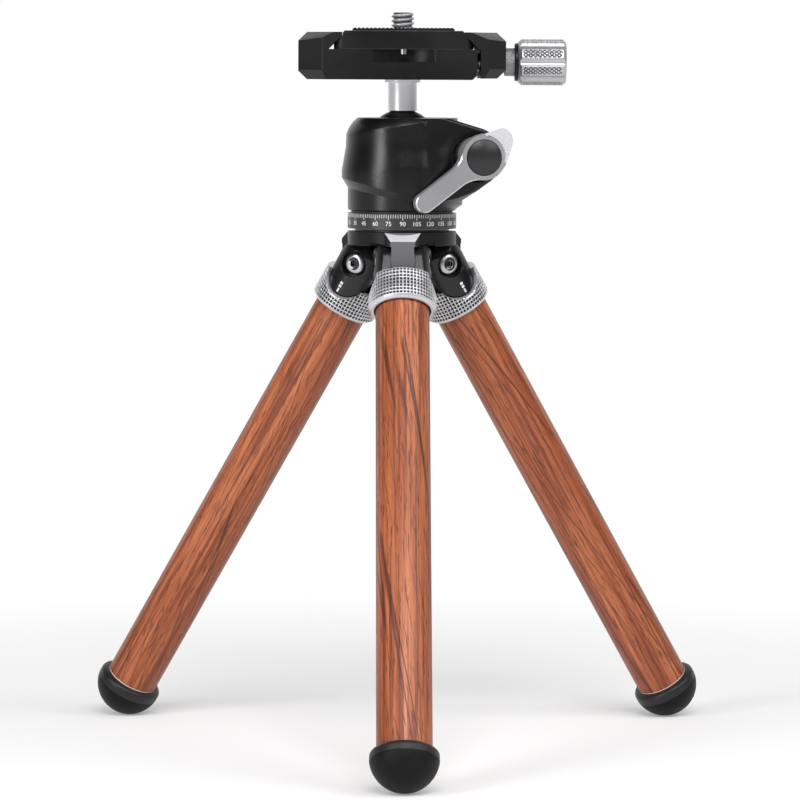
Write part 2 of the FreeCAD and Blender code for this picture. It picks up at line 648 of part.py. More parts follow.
def ball():
    """The ball, with a short dark neck under the stem and a hole for the stem's screw."""
    body = Part.makeSphere(BALL_RADIUS, Vector(0, 0, BALL_Z))
    neck = cylinder(STEM_NECK_DIAMETER / 2, BALL_Z, STEM_BOTTOM - GLUE_GAP)
    body = body.fuse(neck).removeSplitter().cut(stem_spigot(GLUE_GAP))
    return body.cut(cylinder(STEM_DIAMETER / 2 + GLUE_GAP, STEM_BOTTOM - GLUE_GAP, BALL_Z + BALL_RADIUS))


def stem_spigot(growth):
    """The stem's lower end, screwed into the ball."""
    return cylinder(STEM_SPIGOT_DIAMETER / 2 + growth, BALL_Z - growth, STEM_BOTTOM)


def stem():
    """The polished stem with the flange that carries the clamp."""
    body = cylinder(STEM_DIAMETER / 2, STEM_BOTTOM, STEM_TOP)
    flange = cylinder(FLANGE_DIAMETER / 2, STEM_TOP, STEM_TOP + FLANGE_HEIGHT)
    body = body.fuse([flange, stem_spigot(0)]).removeSplitter()
    screw_end = CLAMP_BOTTOM - CLAMP_SCREW_DEPTH - GLUE_GAP
    return body.cut(cylinder(CLAMP_SCREW_DIAMETER / 2 + GLUE_GAP, screw_end, CLAMP_BOTTOM))


def ball_cup():
    """The plastic seat that presses on the ball from below."""
    body = tube(BORE_RADIUS - BALL_GAP, CUP_HOLE_RADIUS, BALL_Z - CUP_BOTTOM_DROP, BALL_Z - CUP_TOP_DROP)
    return body.cut(Part.makeSphere(BALL_RADIUS + BALL_GAP, Vector(0, 0, BALL_Z)))


def cup_spring():
    """The washer spring under the ball's cup."""
    top = BALL_Z - CUP_BOTTOM_DROP - FACE_GAP
    return tube(WAVE_SPRING_RADIUS, WAVE_SPRING_BORE_RADIUS, top - WAVE_SPRING_HEIGHT, top)


def cup_nut():
    """The threaded ring that backs the cup's spring."""
    top = BALL_Z - CUP_BOTTOM_DROP - WAVE_SPRING_HEIGHT - 2 * FACE_GAP
    return tube(BORE_RADIUS - GLUE_GAP, CUP_HOLE_RADIUS, top - CUP_NUT_HEIGHT, top)


# Housing. Along is the direction from the tripod's axis to the lever's axis, and
# ahead is the direction of the lever's axis, toward whoever turns the lever.

TURN = math.radians(LEVER_TURN)
ALONG = Vector(math.cos(TURN), math.sin(TURN), 0)
AHEAD = Vector(math.sin(TURN), -math.cos(TURN), 0)


def beside(along, ahead, height):
    """A point given by its distances along and ahead, and its height."""
    return ALONG * along + AHEAD * ahead + Z_AXIS * height


def ahead_cylinder(radius, height, start, end):
    """A cylinder parallel to the lever's axis, through the lever's offset."""
    return Part.makeCylinder(radius, end - start, beside(LEVER_OFFSET, start, height), AHEAD)


def housing_profile():
    """The (radius, height) corners of the housing's wide body, from below up."""
    return [
        (HOUSING_RADIUS, HOUSING_BOTTOM),
        (HOUSING_RADIUS, HOUSING_BOTTOM + TAPER_HEIGHT),
        (WAIST_RADIUS, HOUSING_BOTTOM + WAIST_HEIGHT),
        (HOUSING_TOP_RADIUS, HOUSING_TOP),
    ]


def skirt():
    """The tilted cone that the wide body and the lobe are kept inside at their lower end."""
    flare = (HOUSING_RADIUS - HOUSING_BASE_RADIUS) / SKIRT_STEP
    apex = -SKIRT_STEP / 2 - HOUSING_BASE_RADIUS / flare
    cone = Part.makeCone(0, (REACH - apex) * flare, REACH - apex, Vector(0, 0, apex))
    return placed(cone, Rotation(Y_AXIS, SKIRT_TILT), Vector(0, 0, HOUSING_BOTTOM + SKIRT_HEIGHT))


def shoulder():
    """The tilted, rounded dome that the wide body is kept inside at its upper end."""
    def on_rounding(slope):
        """The (radius, height) corner where the rounding has a given slope in degrees."""
        foot = math.radians(SHOULDER_FOOT_SLOPE)
        turn = math.radians(slope)
        return (SHOULDER_RADIUS - SHOULDER_ROUND * (math.sin(foot) - math.sin(turn)),
                SHOULDER_ROUND * (math.cos(turn) - math.cos(foot)))

    foot = on_rounding(SHOULDER_FOOT_SLOPE)
    middle = on_rounding((SHOULDER_FOOT_SLOPE + SHOULDER_TOP_SLOPE) / 2)
    top = on_rounding(SHOULDER_TOP_SLOPE)
    peak = top[1] + top[0] * math.tan(math.radians(SHOULDER_TOP_SLOPE))
    spread = SHOULDER_RADIUS + REACH / math.tan(math.radians(SHOULDER_FOOT_SLOPE))
    foot, middle, top, peak, base, centre = [
        Vector(radius, 0, height)
        for radius, height in (foot, middle, top, (0, peak), (spread, -REACH), (0, -REACH))]
    edges = [
        Part.Arc(foot, middle, top).toShape(),
        Part.LineSegment(top, peak).toShape(),
        Part.LineSegment(peak, centre).toShape(),
        Part.LineSegment(centre, base).toShape(),
        Part.LineSegment(base, foot).toShape(),
    ]
    dome = Part.Face(Part.Wire(edges)).revolve(ORIGIN, Z_AXIS, 360)
    return placed(dome, Rotation(Y_AXIS, -SHOULDER_TILT), Vector(0, 0, HOUSING_BOTTOM + SHOULDER_HEIGHT))


def housing_body():
    """The housing's round body: a base, a wider part and a tilted shoulder."""
    base = cylinder(HOUSING_BASE_RADIUS, HOUSING_BOTTOM, HOUSING_BOTTOM + HOUSING_CORE_HEIGHT)
    lower_rim = edges_where(base, lambda edge, middle: abs(middle.z - HOUSING_BOTTOM) < SAME)
    base = base.makeChamfer(HOUSING_EDGE, lower_rim)
    body = turned([(0, HOUSING_BOTTOM)] + housing_profile() + [(0, HOUSING_TOP)])
    return base.fuse(body.common(skirt()).common(shoulder())).removeSplitter()


def lobe():
    """The ears at the side that the lever's bolt pulls together.

    Their outline is pushed along the lever's axis. Their front face touches the round
    body, follows its taper and falls back toward the lobe's nose.
    """
    centre = (LEVER_OFFSET, LOBE_Z)
    upper_root = (LOBE_TOP_ROOT, HOUSING_TOP - LOBE_TOP_DROP)
    lower_root = (LOBE_ROOT, HOUSING_BOTTOM + LOBE_ROOT_LIFT)
    upper = tangent_point(centre, LOBE_RADIUS, upper_root, -1)
    lower = tangent_point(centre, LOBE_RADIUS, lower_root, 1)
    nose = (LEVER_OFFSET + LOBE_RADIUS, LOBE_Z)
    outline = [(0, upper_root[1]), upper_root, upper, nose, lower, lower_root, (0, lower_root[1])]
    start, root, above, tip, below, foot, end = [
        beside(along, -LOBE_BACK, height) for along, height in outline]
    edges = [
        Part.LineSegment(start, root).toShape(),
        Part.LineSegment(root, above).toShape(),
        Part.Arc(above, tip, below).toShape(),
        Part.LineSegment(below, foot).toShape(),
        Part.LineSegment(foot, end).toShape(),
        Part.LineSegment(end, start).toShape(),
    ]
    ears = Part.Face(Part.Wire(edges)).extrude(AHEAD * (LOBE_BACK + HOUSING_RADIUS))
    turn = math.radians(LOBE_FACE_TURN)
    outward = AHEAD * math.cos(turn) + ALONG * math.sin(turn)
    onward = ALONG * math.cos(turn) - AHEAD * math.sin(turn)
    section = [(-REACH, HOUSING_BOTTOM)] + housing_profile() + [(-REACH, HOUSING_TOP)]
    slab = prism([outward * radius + Z_AXIS * height for radius, height in section], onward * REACH)

    def on_rim(edge, middle):
        """Whether an edge bounds the lobe's back face, or its front face past the slope's end."""
        along = middle.dot(ALONG)
        ahead = middle.dot(AHEAD)
        at_back = abs(ahead + LOBE_BACK) < SAME and along > LOBE_ROOT
        on_slope = upper[1] < middle.z < upper_root[1] - SAME
        return at_back or (ahead > LEVER_SEAT and (along > upper[0] or on_slope))

    body = ears.common(slab).common(skirt())
    return body.makeFillet(LOBE_EDGE, edges_where(body, on_rim))


def housing():
    """The ball's housing, split beside the ball, with a slot for portrait shots."""
    body = housing_body().fuse(lobe())
    ball_space = Part.makeSphere(BALL_RADIUS + BALL_GAP, Vector(0, 0, BALL_Z))
    bore_end = BALL_Z - CUP_TOP_DROP + FACE_GAP
    spigot_room = RING_TOP + SPIGOT_HEIGHT + PAN_SEAM / 2
    opening_height = HOUSING_TOP - BALL_Z + OVERRUN
    opening = Part.makeCone(0, opening_height * math.tan(math.radians(OPENING_ANGLE)), opening_height,
                            Vector(0, 0, BALL_Z))
    cuts = [
        ball_space,
        cylinder(BORE_RADIUS, HOUSING_BOTTOM, bore_end),
        cylinder(RETAINER_RADIUS, HOUSING_BOTTOM, spigot_room),
        opening,
        drop_slot(),
        slit(),
        ahead_cylinder(LEVER_POCKET_RADIUS, LEVER_Z, LEVER_SEAT, LEVER_BACK),
        ahead_cylinder(BOLT_DIAMETER / 2 + RUNNING_GAP, LEVER_Z, -REACH / 2, LEVER_BACK),
        nut(2 * GLUE_GAP, REACH / 2),
    ]
    for cut in cuts:
        body = body.cut(cut)
    return body.removeSplitter()


def drop_slot():
    """The slot at the back that the stem drops into."""
    half = STEM_DIAMETER / 2 + DROP_SLOT_GAP
    channel = block((-half, half), (0, REACH), (BALL_Z, HOUSING_TOP + OVERRUN))
    floor = Part.makeCylinder(half, REACH, Vector(0, 0, BALL_Z), Y_AXIS)
    return channel.fuse(floor)


def slit():
    """The thin upright cut through the lobe that lets its ears close."""
    corner = beside(SLIT_START, -SLIT_WIDTH / 2, BALL_Z - SLIT_BOTTOM_DROP)
    corners = [corner, corner + ALONG * REACH, corner + ALONG * REACH + AHEAD * SLIT_WIDTH,
               corner + AHEAD * SLIT_WIDTH]
    return prism(corners, Vector(0, 0, REACH))


# Lever pieces

def nut(growth, depth):
    """The square nut in the back ear, with room behind it when it is a cutting tool."""
    half = NUT_WIDTH / 2 + growth
    front = -LOBE_BACK + NUT_HEIGHT
    corners = [beside(LEVER_OFFSET + x, front, LEVER_Z + z)
               for x, z in ((-half, -half), (half, -half), (half, half), (-half, half))]
    return prism(corners, AHEAD * -depth)


def clamp_nut():
    """The square nut that the lever's bolt pulls on."""
    body = nut(0, NUT_HEIGHT - GLUE_GAP)
    return body.cut(ahead_cylinder(BOLT_DIAMETER / 2 + GLUE_GAP, LEVER_Z, -REACH / 2, REACH / 2))


def clamp_bolt():
    """The threaded stud through both ears into the lever."""
    tip = LEVER_FACE - CAP_SINK - BOLT_TIP
    return ahead_cylinder(BOLT_DIAMETER / 2, LEVER_Z, -LOBE_BACK, tip)


def lever_washer():
    """The washer between the lever's hub and the pocket's floor."""
    start = LEVER_SEAT + FACE_GAP
    end = start + LEVER_WASHER_HEIGHT
    body = ahead_cylinder(LEVER_HUB_RADIUS, LEVER_Z, start, end)
    return body.cut(ahead_cylinder(BOLT_DIAMETER / 2 + RUNNING_GAP, LEVER_Z, start, end))


def arm_face():
    """The outline of the lever's arm on the XY plane, pointing along +X."""
    half = LEVER_ARM_WIDTH / 2
    reach = math.sqrt((LEVER_BOSS_RADIUS + LEVER_BLEND) ** 2 - (half + LEVER_BLEND) ** 2)
    angle = math.atan2(half + LEVER_BLEND, reach)
    centre = Vector(reach, half + LEVER_BLEND, 0)
    on_boss = Vector(math.cos(angle), math.sin(angle), 0) * LEVER_BOSS_RADIUS
    middle_angle = (angle + math.pi + 1.5 * math.pi) / 2
    waist = centre + Vector(math.cos(middle_angle), math.sin(middle_angle), 0) * LEVER_BLEND
    on_arm = Vector(reach, half, 0)
    arm_end = Vector(LEVER_ARM_LENGTH, half, 0)

    def below(point):
        """The point mirrored to the arm's other side."""
        return Vector(point.x, -point.y, 0)

    edges = [
        Part.Arc(on_boss, waist, on_arm).toShape(),
        Part.LineSegment(on_arm, arm_end).toShape(),
        Part.Arc(arm_end, Vector(LEVER_ARM_LENGTH + half, 0, 0), below(arm_end)).toShape(),
        Part.LineSegment(below(arm_end), below(on_arm)).toShape(),
        Part.Arc(below(on_arm), below(waist), below(on_boss)).toShape(),
        Part.Arc(below(on_boss), Vector(-LEVER_BOSS_RADIUS, 0, 0), on_boss).toShape(),
    ]
    return Part.Face(Part.Wire(edges))


def lever_ear():
    """The short ear on the far side of the boss, bent back toward the housing."""
    ear = pill(LEVER_BOSS_RADIUS, LEVER_EAR_TIP, LEVER_EAR_LENGTH, LEVER_THICKNESS)
    hinge = Vector(LEVER_EAR_START, 0, LEVER_THICKNESS)
    flat = ear.common(block((-REACH, LEVER_EAR_START), (-REACH, REACH), (-REACH, REACH)))
    bent = ear.common(block((LEVER_EAR_START - LEVER_THICKNESS / 2, REACH), (-REACH, REACH), (-REACH, REACH)))
    bent.rotate(hinge, Y_AXIS, LEVER_EAR_BEND)
    bent = bent.common(block((-REACH, REACH), (-REACH, REACH), (-REACH, LEVER_THICKNESS)))
    bent = bent.cut(cylinder(LEVER_HUB_RADIUS, -REACH, 0))
    turn = Rotation(Z_AXIS, 180)
    return placed(flat.fuse(bent).removeSplitter(), turn)


def lever():
    """The two-armed lever: boss, long arm, bent ear and the hub behind them."""
    plate = arm_face().extrude(Vector(0, 0, LEVER_THICKNESS))

    def on_rim(edge, middle):
        """Whether an edge runs round the arm's front or back face."""
        at_face = abs(middle.z) < SAME or abs(middle.z - LEVER_THICKNESS) < SAME
        return at_face and middle.x > LEVER_BOSS_RADIUS / 2

    plate = plate.makeChamfer(LEVER_EDGE, edges_where(plate, on_rim))
    hub_start = LEVER_SEAT + LEVER_WASHER_HEIGHT + 2 * FACE_GAP - LEVER_BACK
    hub_part = cylinder(LEVER_HUB_RADIUS, hub_start, LEVER_THICKNESS / 2)
    body = plate.fuse([lever_ear(), hub_part])
    cap_seat = LEVER_THICKNESS - CAP_SINK
    body = body.cut(cylinder(CAP_RADIUS + CAP_GAP, cap_seat, LEVER_THICKNESS))
    body = body.cut(cylinder(BOLT_DIAMETER / 2 + RUNNING_GAP, hub_start, LEVER_THICKNESS))
    return on_lever(body.removeSplitter())


def on_lever(shape):
    """A lever piece moved from its own drawing plane to the housing."""
    turned_arm = placed(shape, Rotation(Z_AXIS, LEVER_ARM_ANGLE))
    facing = Rotation(ALONG, Z_AXIS, AHEAD, "XYZ")
    return placed(turned_arm, facing, beside(LEVER_OFFSET, LEVER_BACK, LEVER_Z))


def lever_cap():
    """The domed black cap over the bolt's end."""
    seat = LEVER_THICKNESS - CAP_SINK + GLUE_GAP
    top = LEVER_THICKNESS + CAP_RISE
    sagitta = CAP_RISE - CAP_EDGE_RISE
    radius = (CAP_RADIUS ** 2 + sagitta ** 2) / (2 * sagitta)
    dome = Part.makeSphere(radius, Vector(0, 0, top - radius))
    return on_lever(cylinder(CAP_RADIUS, seat, top).common(dome))


# Clamp pieces

def dovetail(growth, top):
    """The corners, in X and Z, of the plate's right half below its top, made larger."""
    half = PLATE_WIDTH / 2
    slope_start = PLATE_Z + PLATE_EDGE
    push = growth * math.sqrt(2)
    upper_x = half - DOVETAIL_DEPTH + growth
    upper_z = slope_start + DOVETAIL_DEPTH + push - growth
    return half, slope_start, push, upper_x, upper_z, top


def channel():
    """The space between the two jaws: a floor, two slopes and two upright lips."""
    half, slope_start, push, upper_x, upper_z, top = dovetail(GRIP_GAP, CLAMP_TOP + OVERRUN)
    root_x = half + push + slope_start - CHANNEL_Z
    right = [(0, CHANNEL_Z), (root_x, CHANNEL_Z), (upper_x, upper_z), (upper_x, top), (0, top)]
    left = [(-x, z) for x, z in reversed(right[1:-1])]
    corners = [Vector(x, -REACH / 2, z) for x, z in right[1:-1] + left]
    return prism(corners, Vector(0, REACH, 0))


def clamp_blank(left, right, left_corner, right_corner, bottom):
    """The clamp's plan with its outer corners cut off, pushed up to the clamp's top."""
    half = CLAMP_LENGTH / 2
    plan = [(left + left_corner, -half), (right - right_corner, -half)]
    if right_corner:
        plan += [(right, -half + right_corner), (right, half - right_corner)]
    plan += [(right - right_corner, half), (left + left_corner, half)]
    if left_corner:
        plan += [(left, half - left_corner), (left, -half + left_corner)]
    corners = [Vector(x, y, bottom) for x, y in plan]
    return prism(corners, Vector(0, 0, CLAMP_TOP - bottom))


def bevel_end(body, side, bottom):
    """Cuts the bevels at one end of the clamp: side is -1 for the left and 1 for the right."""
    half = CLAMP_LENGTH / 2
    end = CLAMP_RIGHT if side > 0 else CLAMP_LEFT
    corner = CORNER_RIGHT if side > 0 else CORNER_LEFT
    reach = FACET_RIGHT if side > 0 else FACET_LEFT
    slope = math.radians(FACET_RIGHT_SLOPE if side > 0 else FACET_LEFT_SLOPE)
    turn = math.radians(FACET_TURN)
    body = cut_off(body, Vector(side * end, 0, CLAMP_TOP - CLAMP_BEVEL_HEIGHT), Vector(side, 0, 1))
    body = cut_off(body, Vector(side * end, 0, bottom + CLAMP_END_BEVEL_HEIGHT),
                   Vector(side * CLAMP_END_BEVEL_HEIGHT, 0, -CLAMP_BEVEL))
    rise = (CLAMP_SIDE_BEVEL_HEIGHT + CLAMP_END_BEVEL_HEIGHT) / 2
    for y in (-1, 1):
        facet = Vector(side * math.cos(turn) * math.tan(slope), y * math.sin(turn) * math.tan(slope), 1)
        body = cut_off(body, Vector(side * (end - reach), y * half, CLAMP_TOP), facet)
        middle = Vector(side * (end - corner / 2), y * (half - corner / 2), bottom + rise)
        under = Vector(side * rise, y * rise, -CLAMP_BEVEL * math.sqrt(2))
        body = cut_off(body, middle, under)
    return body


def bevel_sides(body, bottom):
    """Cuts the lower bevels along the clamp's front and back."""
    half = CLAMP_LENGTH / 2
    for y in (-1, 1):
        body = cut_off(body, Vector(0, y * half, bottom + CLAMP_SIDE_BEVEL_HEIGHT),
                       Vector(0, y * CLAMP_SIDE_BEVEL_HEIGHT, -CLAMP_BEVEL))
    return body


def end_corners(side):
    """The plan positions of the four upright edges at one end of the clamp."""
    half = CLAMP_LENGTH / 2
    end = CLAMP_RIGHT if side > 0 else CLAMP_LEFT
    corner = CORNER_RIGHT if side > 0 else CORNER_LEFT
    places = []
    for y in (-1, 1):
        places += [(side * (end - corner), y * half), (side * end, y * (half - corner))]
    return places


def scoop(side):
    """The round relief in the channel's floor at the front or the back."""
    half = CLAMP_LENGTH / 2
    offset = math.sqrt(SCOOP_RADIUS ** 2 - (SCOOP_WIDTH / 2) ** 2)
    centre = Vector(0, side * (half + offset), CHANNEL_Z - SCOOP_DEPTH)
    return Part.makeCylinder(SCOOP_RADIUS, REACH, centre)


def upright_rounds(body, radius, places):
    """Rounds the upright edges that stand at the given plan positions."""
    def at_a_place(edge, middle):
        """Whether an upright edge stands at one of the places."""
        if not is_upright(edge):
            return False
        return any(math.hypot(middle.x - x, middle.y - y) < SAME for x, y in places)

    return body.makeFillet(radius, edges_where(body, at_a_place))


def clamp_body():
    """The clamp's main block with its fixed jaw, channel and screw holes."""
    body = clamp_blank(-CLAMP_LEFT, CLAMP_SPLIT, CORNER_LEFT, 0, CLAMP_BOTTOM)
    body = upright_rounds(body, CLAMP_EDGE, end_corners(-1))
    body = bevel_sides(bevel_end(body, -1, CLAMP_BOTTOM), CLAMP_BOTTOM)
    body = cut_off(body, Vector(CLAMP_SPLIT, 0, CLAMP_BOTTOM + SPLIT_BEVEL), Vector(1, 0, -1))
    above_floor = block((0, REACH), (-REACH, REACH), (CHANNEL_Z, REACH + CLAMP_TOP))
    body = body.cut(channel()).cut(above_floor)
    body = body.cut(scoop(-1)).cut(scoop(1))
    half = CLAMP_LENGTH / 2
    scoop_ends = [(x * SCOOP_WIDTH / 2, y * half) for x in (-1, 1) for y in (-1, 1)]
    body = upright_rounds(body, SCOOP_EDGE, scoop_ends)
    body = body.cut(bar_along_x(JAW_SCREW_DIAMETER / 2 + GLUE_GAP,
                                JAW_SCREW_END - JAW_SCREW_ROOM, CLAMP_SPLIT, 0))
    for y in guide_places():
        body = body.cut(bar_along_x(GUIDE_DIAMETER / 2 + RUNNING_GAP,
                                    CLAMP_SPLIT - GUIDE_DEPTH, CLAMP_SPLIT, y))
        body = body.cut(bar_along_x(JAW_SPRING_DIAMETER / 2 + RUNNING_GAP,
                                    CLAMP_SPLIT - JAW_SPRING_POCKET, CLAMP_SPLIT, y))
    return body.cut(clamp_screw_tool(GLUE_GAP)).removeSplitter()


def bar_along_x(radius, start, end, y):
    """A cylinder along X at the height of the knob's axis."""
    return Part.makeCylinder(radius, end - start, Vector(start, y, KNOB_Z), X_AXIS)


def guide_places():
    """Where the two guide pins lie along Y."""
    return (-GUIDE_SPACING / 2, GUIDE_SPACING / 2)


def clamp_jaw():
    """The moving jaw, with its slope over the plate's edge."""
    inner = CLAMP_SPLIT + CLAMP_JAW_GAP
    lip = dovetail(GRIP_GAP, CLAMP_TOP)[3]
    bottom = CLAMP_BOTTOM + JAW_BOTTOM_LIFT
    body = clamp_blank(lip, CLAMP_RIGHT, 0, CORNER_RIGHT, bottom)
    body = upright_rounds(body, CLAMP_EDGE, end_corners(1))
    body = bevel_sides(bevel_end(body, 1, bottom), bottom)
    below_floor = block((0, inner), (-REACH, REACH), (0, CHANNEL_Z))
    body = body.cut(channel()).cut(below_floor)
    body = body.cut(bar_along_x(JAW_SCREW_DIAMETER / 2 + RUNNING_GAP, inner, CLAMP_RIGHT, 0))
    for y in guide_places():
        body = body.cut(bar_along_x(GUIDE_DIAMETER / 2 + GLUE_GAP, inner, inner + GUIDE_HOLD, y))
    return body.removeSplitter()


def guide_pins():
    """Two pins pressed into the jaw that slide in the clamp's body."""
    start = CLAMP_SPLIT - GUIDE_DEPTH + GUIDE_ROOM
    end = CLAMP_SPLIT + CLAMP_JAW_GAP + GUIDE_HOLD - GLUE_GAP
    return Part.makeCompound([bar_along_x(GUIDE_DIAMETER / 2, start, end, y) for y in guide_places()])


def jaw_springs():
    """Two small springs round the guide pins that push the jaw open."""
    start = CLAMP_SPLIT - JAW_SPRING_POCKET + JAW_SPRING_WIRE
    end = CLAMP_SPLIT + CLAMP_JAW_GAP - JAW_SPRING_WIRE
    radius = (JAW_SPRING_DIAMETER - JAW_SPRING_WIRE) / 2
    springs = []
    for y in guide_places():
        path = Part.makeHelix((end - start) / JAW_SPRING_TURNS, end - start, radius)
        section = Part.Wire(Part.makeCircle(JAW_SPRING_WIRE / 2, Vector(radius, 0, 0), Y_AXIS))
        wire = Part.Wire(path).makePipeShell([section], True, True)
        springs.append(placed(wire, Rotation(Z_AXIS, X_AXIS), Vector(start, y, KNOB_Z)))
    return Part.makeCompound(springs)


def jaw_screw():
    """The screw of the clamp's knob, threaded into the body."""
    end = CLAMP_RIGHT + BUSH_LENGTH + KNOB_RING_HEIGHT + KNOB_SCREW_DEPTH
    return bar_along_x(JAW_SCREW_DIAMETER / 2, JAW_SCREW_END, end, 0)


def jaw_bush():
    """The silver bush between the jaw and the knob."""
    start = CLAMP_RIGHT + FACE_GAP
    end = CLAMP_RIGHT + BUSH_LENGTH
    body = bar_along_x(BUSH_DIAMETER / 2, start, end, 0)
    return body.cut(bar_along_x(JAW_SCREW_DIAMETER / 2 + GLUE_GAP, start, end, 0))


def knob_ring():
    """The dark ring between the bush and the knob."""
    start = CLAMP_RIGHT + BUSH_LENGTH
    end = start + KNOB_RING_HEIGHT
    body = bar_along_x(KNOB_RING_DIAMETER / 2, start, end, 0)
    return body.cut(bar_along_x(JAW_SCREW_DIAMETER / 2 + GLUE_GAP, start, end, 0))


def knob():
    """The clamp's knob, with flutes round it and bevelled ends."""
    start = CLAMP_RIGHT + BUSH_LENGTH + KNOB_RING_HEIGHT
    end = start + KNOB_LENGTH
    body = bar_along_x(KNOB_DIAMETER / 2, start, end, 0)
    rims = edges_where(body, lambda edge, middle: middle.x < start + SAME or middle.x > end - SAME)
    body = body.makeChamfer(KNOB_EDGE, rims)
    distance = KNOB_DIAMETER / 2 - KNOB_FLUTE_DEPTH + KNOB_FLUTE_RADIUS
    for step in range(KNOB_FLUTES):
        angle = 2 * math.pi * step / KNOB_FLUTES
        y = distance * math.cos(angle)
        z = KNOB_Z + distance * math.sin(angle)
        flute = Part.makeCylinder(KNOB_FLUTE_RADIUS, KNOB_LENGTH - 2 * KNOB_EDGE,
                                  Vector(start + KNOB_EDGE, y, z), X_AXIS)
        body = body.cut(flute)
    bore_end = start + KNOB_SCREW_DEPTH + KNOB_BORE_ROOM
    return body.cut(bar_along_x(JAW_SCREW_DIAMETER / 2 + GLUE_GAP, start, bore_end, 0))


def clamp_screw_tool(growth):
    """The clamp's centre screw, or its hole when it is made larger."""
    head_top = CHANNEL_Z - CLAMP_SCREW_SINK + growth
    head_bottom = head_top - CLAMP_SCREW_HEAD_HEIGHT
    radius = CLAMP_SCREW_DIAMETER / 2 + growth
    head = turned([
        (0, head_bottom),
        (radius, head_bottom),
        (CLAMP_SCREW_HEAD / 2 + growth, head_top - CLAMP_SCREW_RIM),
        (CLAMP_SCREW_HEAD / 2 + growth, head_top if not growth else CHANNEL_Z),
        (0, head_top if not growth else CHANNEL_Z),
    ])
    return head.fuse(cylinder(radius, CLAMP_BOTTOM - CLAMP_SCREW_DEPTH, head_bottom)).removeSplitter()


def clamp_screw():
    """The countersunk screw that holds the clamp on the stem."""
    head_top = CHANNEL_Z - CLAMP_SCREW_SINK
    socket = hexagon(CLAMP_SCREW_SOCKET, head_top - CLAMP_SCREW_SOCKET_DEPTH, head_top)
    return clamp_screw_tool(0).cut(socket)


# Plate pieces

def plate():
    """The quick-release plate with its dovetail edges and rounded corners."""
    half, slope_start, _, upper_x, _, _ = dovetail(0, PLATE_TOP)
    profile = [
        (half, PLATE_Z),
        (half, slope_start),
        (upper_x, slope_start + DOVETAIL_DEPTH),
        (upper_x, PLATE_TOP - PLATE_TOP_BEVEL),
        (upper_x - PLATE_TOP_BEVEL, PLATE_TOP),
    ]
    mirrored = [(-x, z) for x, z in reversed(profile)]
    corners = [Vector(x, -PLATE_LENGTH / 2, z) for x, z in profile + mirrored]
    body = prism(corners, Vector(0, PLATE_LENGTH, 0))
    slab = block((-half, half), (-PLATE_LENGTH / 2, PLATE_LENGTH / 2), (PLATE_Z, PLATE_TOP))
    slab = slab.makeFillet(PLATE_CORNER, [edge for edge in slab.Edges if is_upright(edge)])
    body = body.common(slab)
    body = body.cut(cylinder(CAMERA_SCREW_DIAMETER / 2 + CAMERA_HOLE_GAP, PLATE_Z, PLATE_TOP))
    seat = PLATE_Z + SCREW_HEAD_HEIGHT + FACE_GAP
    body = body.cut(cylinder(SCREW_HEAD_RADIUS + SCREW_HEAD_GAP, PLATE_Z, seat))
    for y in stop_places():
        hole = Part.makeCylinder(STOP_DIAMETER / 2 + GLUE_GAP, STOP_DEPTH + GLUE_GAP, Vector(0, y, PLATE_Z))
        body = body.cut(hole)
    return body


def stop_places():
    """Where the plate's two stop screws stand along Y."""
    reach = PLATE_LENGTH / 2 - STOP_INSET
    return (-reach, reach)


def plate_stops():
    """Two small screws under the plate that keep it from sliding out."""
    pins = [Part.makeCylinder(STOP_DIAMETER / 2, STOP_DEPTH + STOP_PROUD,
                              Vector(0, y, PLATE_Z - STOP_PROUD)) for y in stop_places()]
    return Part.makeCompound(pins)


def plate_pad():
    """The rubber pad that the camera stands on."""
    half_x = PAD_WIDTH / 2
    half_y = PAD_LENGTH / 2
    body = block((-half_x, half_x), (-half_y, half_y), (PLATE_TOP, PAD_TOP))
    body = body.makeFillet(PAD_CORNER, [edge for edge in body.Edges if is_upright(edge)])
    return body.cut(cylinder(PAD_HOLE_RADIUS, PLATE_TOP, PAD_TOP))


def camera_screw():
    """The captive camera screw: a slotted head under the plate and a stud above it."""
    radius = CAMERA_SCREW_DIAMETER / 2
    head_top = PLATE_Z + SCREW_HEAD_HEIGHT
    body = turned([
        (0, PLATE_Z),
        (SCREW_HEAD_RADIUS, PLATE_Z),
        (SCREW_HEAD_RADIUS, head_top),
        (radius, head_top),
        (radius, PLATE_TOP + FACE_GAP),
        (radius - CLIP_GROOVE_DEPTH, PLATE_TOP + FACE_GAP),
        (radius - CLIP_GROOVE_DEPTH, PLATE_TOP + 3 * FACE_GAP + CLIP_HEIGHT),
        (radius, PLATE_TOP + 3 * FACE_GAP + CLIP_HEIGHT),
        (radius, SCREW_TOP - CAMERA_SCREW_TIP),
        (radius - CAMERA_SCREW_TIP, SCREW_TOP),
        (0, SCREW_TOP),
    ])
    half = COIN_SLOT_WIDTH / 2
    slot = block((-REACH, REACH), (-half, half), (PLATE_Z, PLATE_Z + COIN_SLOT_DEPTH))
    return body.cut(slot)


def screw_clip():
    """The split ring in the screw's groove that keeps the screw in the plate."""
    start = PLATE_TOP + 2 * FACE_GAP
    inner = CAMERA_SCREW_DIAMETER / 2 - CLIP_GROOVE_DEPTH + GLUE_GAP
    ring = tube(CLIP_OUTER_RADIUS, inner, start, start + CLIP_HEIGHT)
    mouth = block((0, REACH), (-CLIP_MOUTH / 2, CLIP_MOUTH / 2), (start, start + CLIP_HEIGHT))
    return ring.cut(mouth)


LEG_PIECES = {
    "leg_tube": leg_tube,
    "foot": foot,
    "foot_plug": foot_plug,
    "fork": fork,
    "pivot_sleeve": pivot_sleeve,
    "pivot_screw": pivot_screw,
    "pivot_washers": pivot_washers,
    "collar": collar,
    "collar_seal": collar_seal,
}

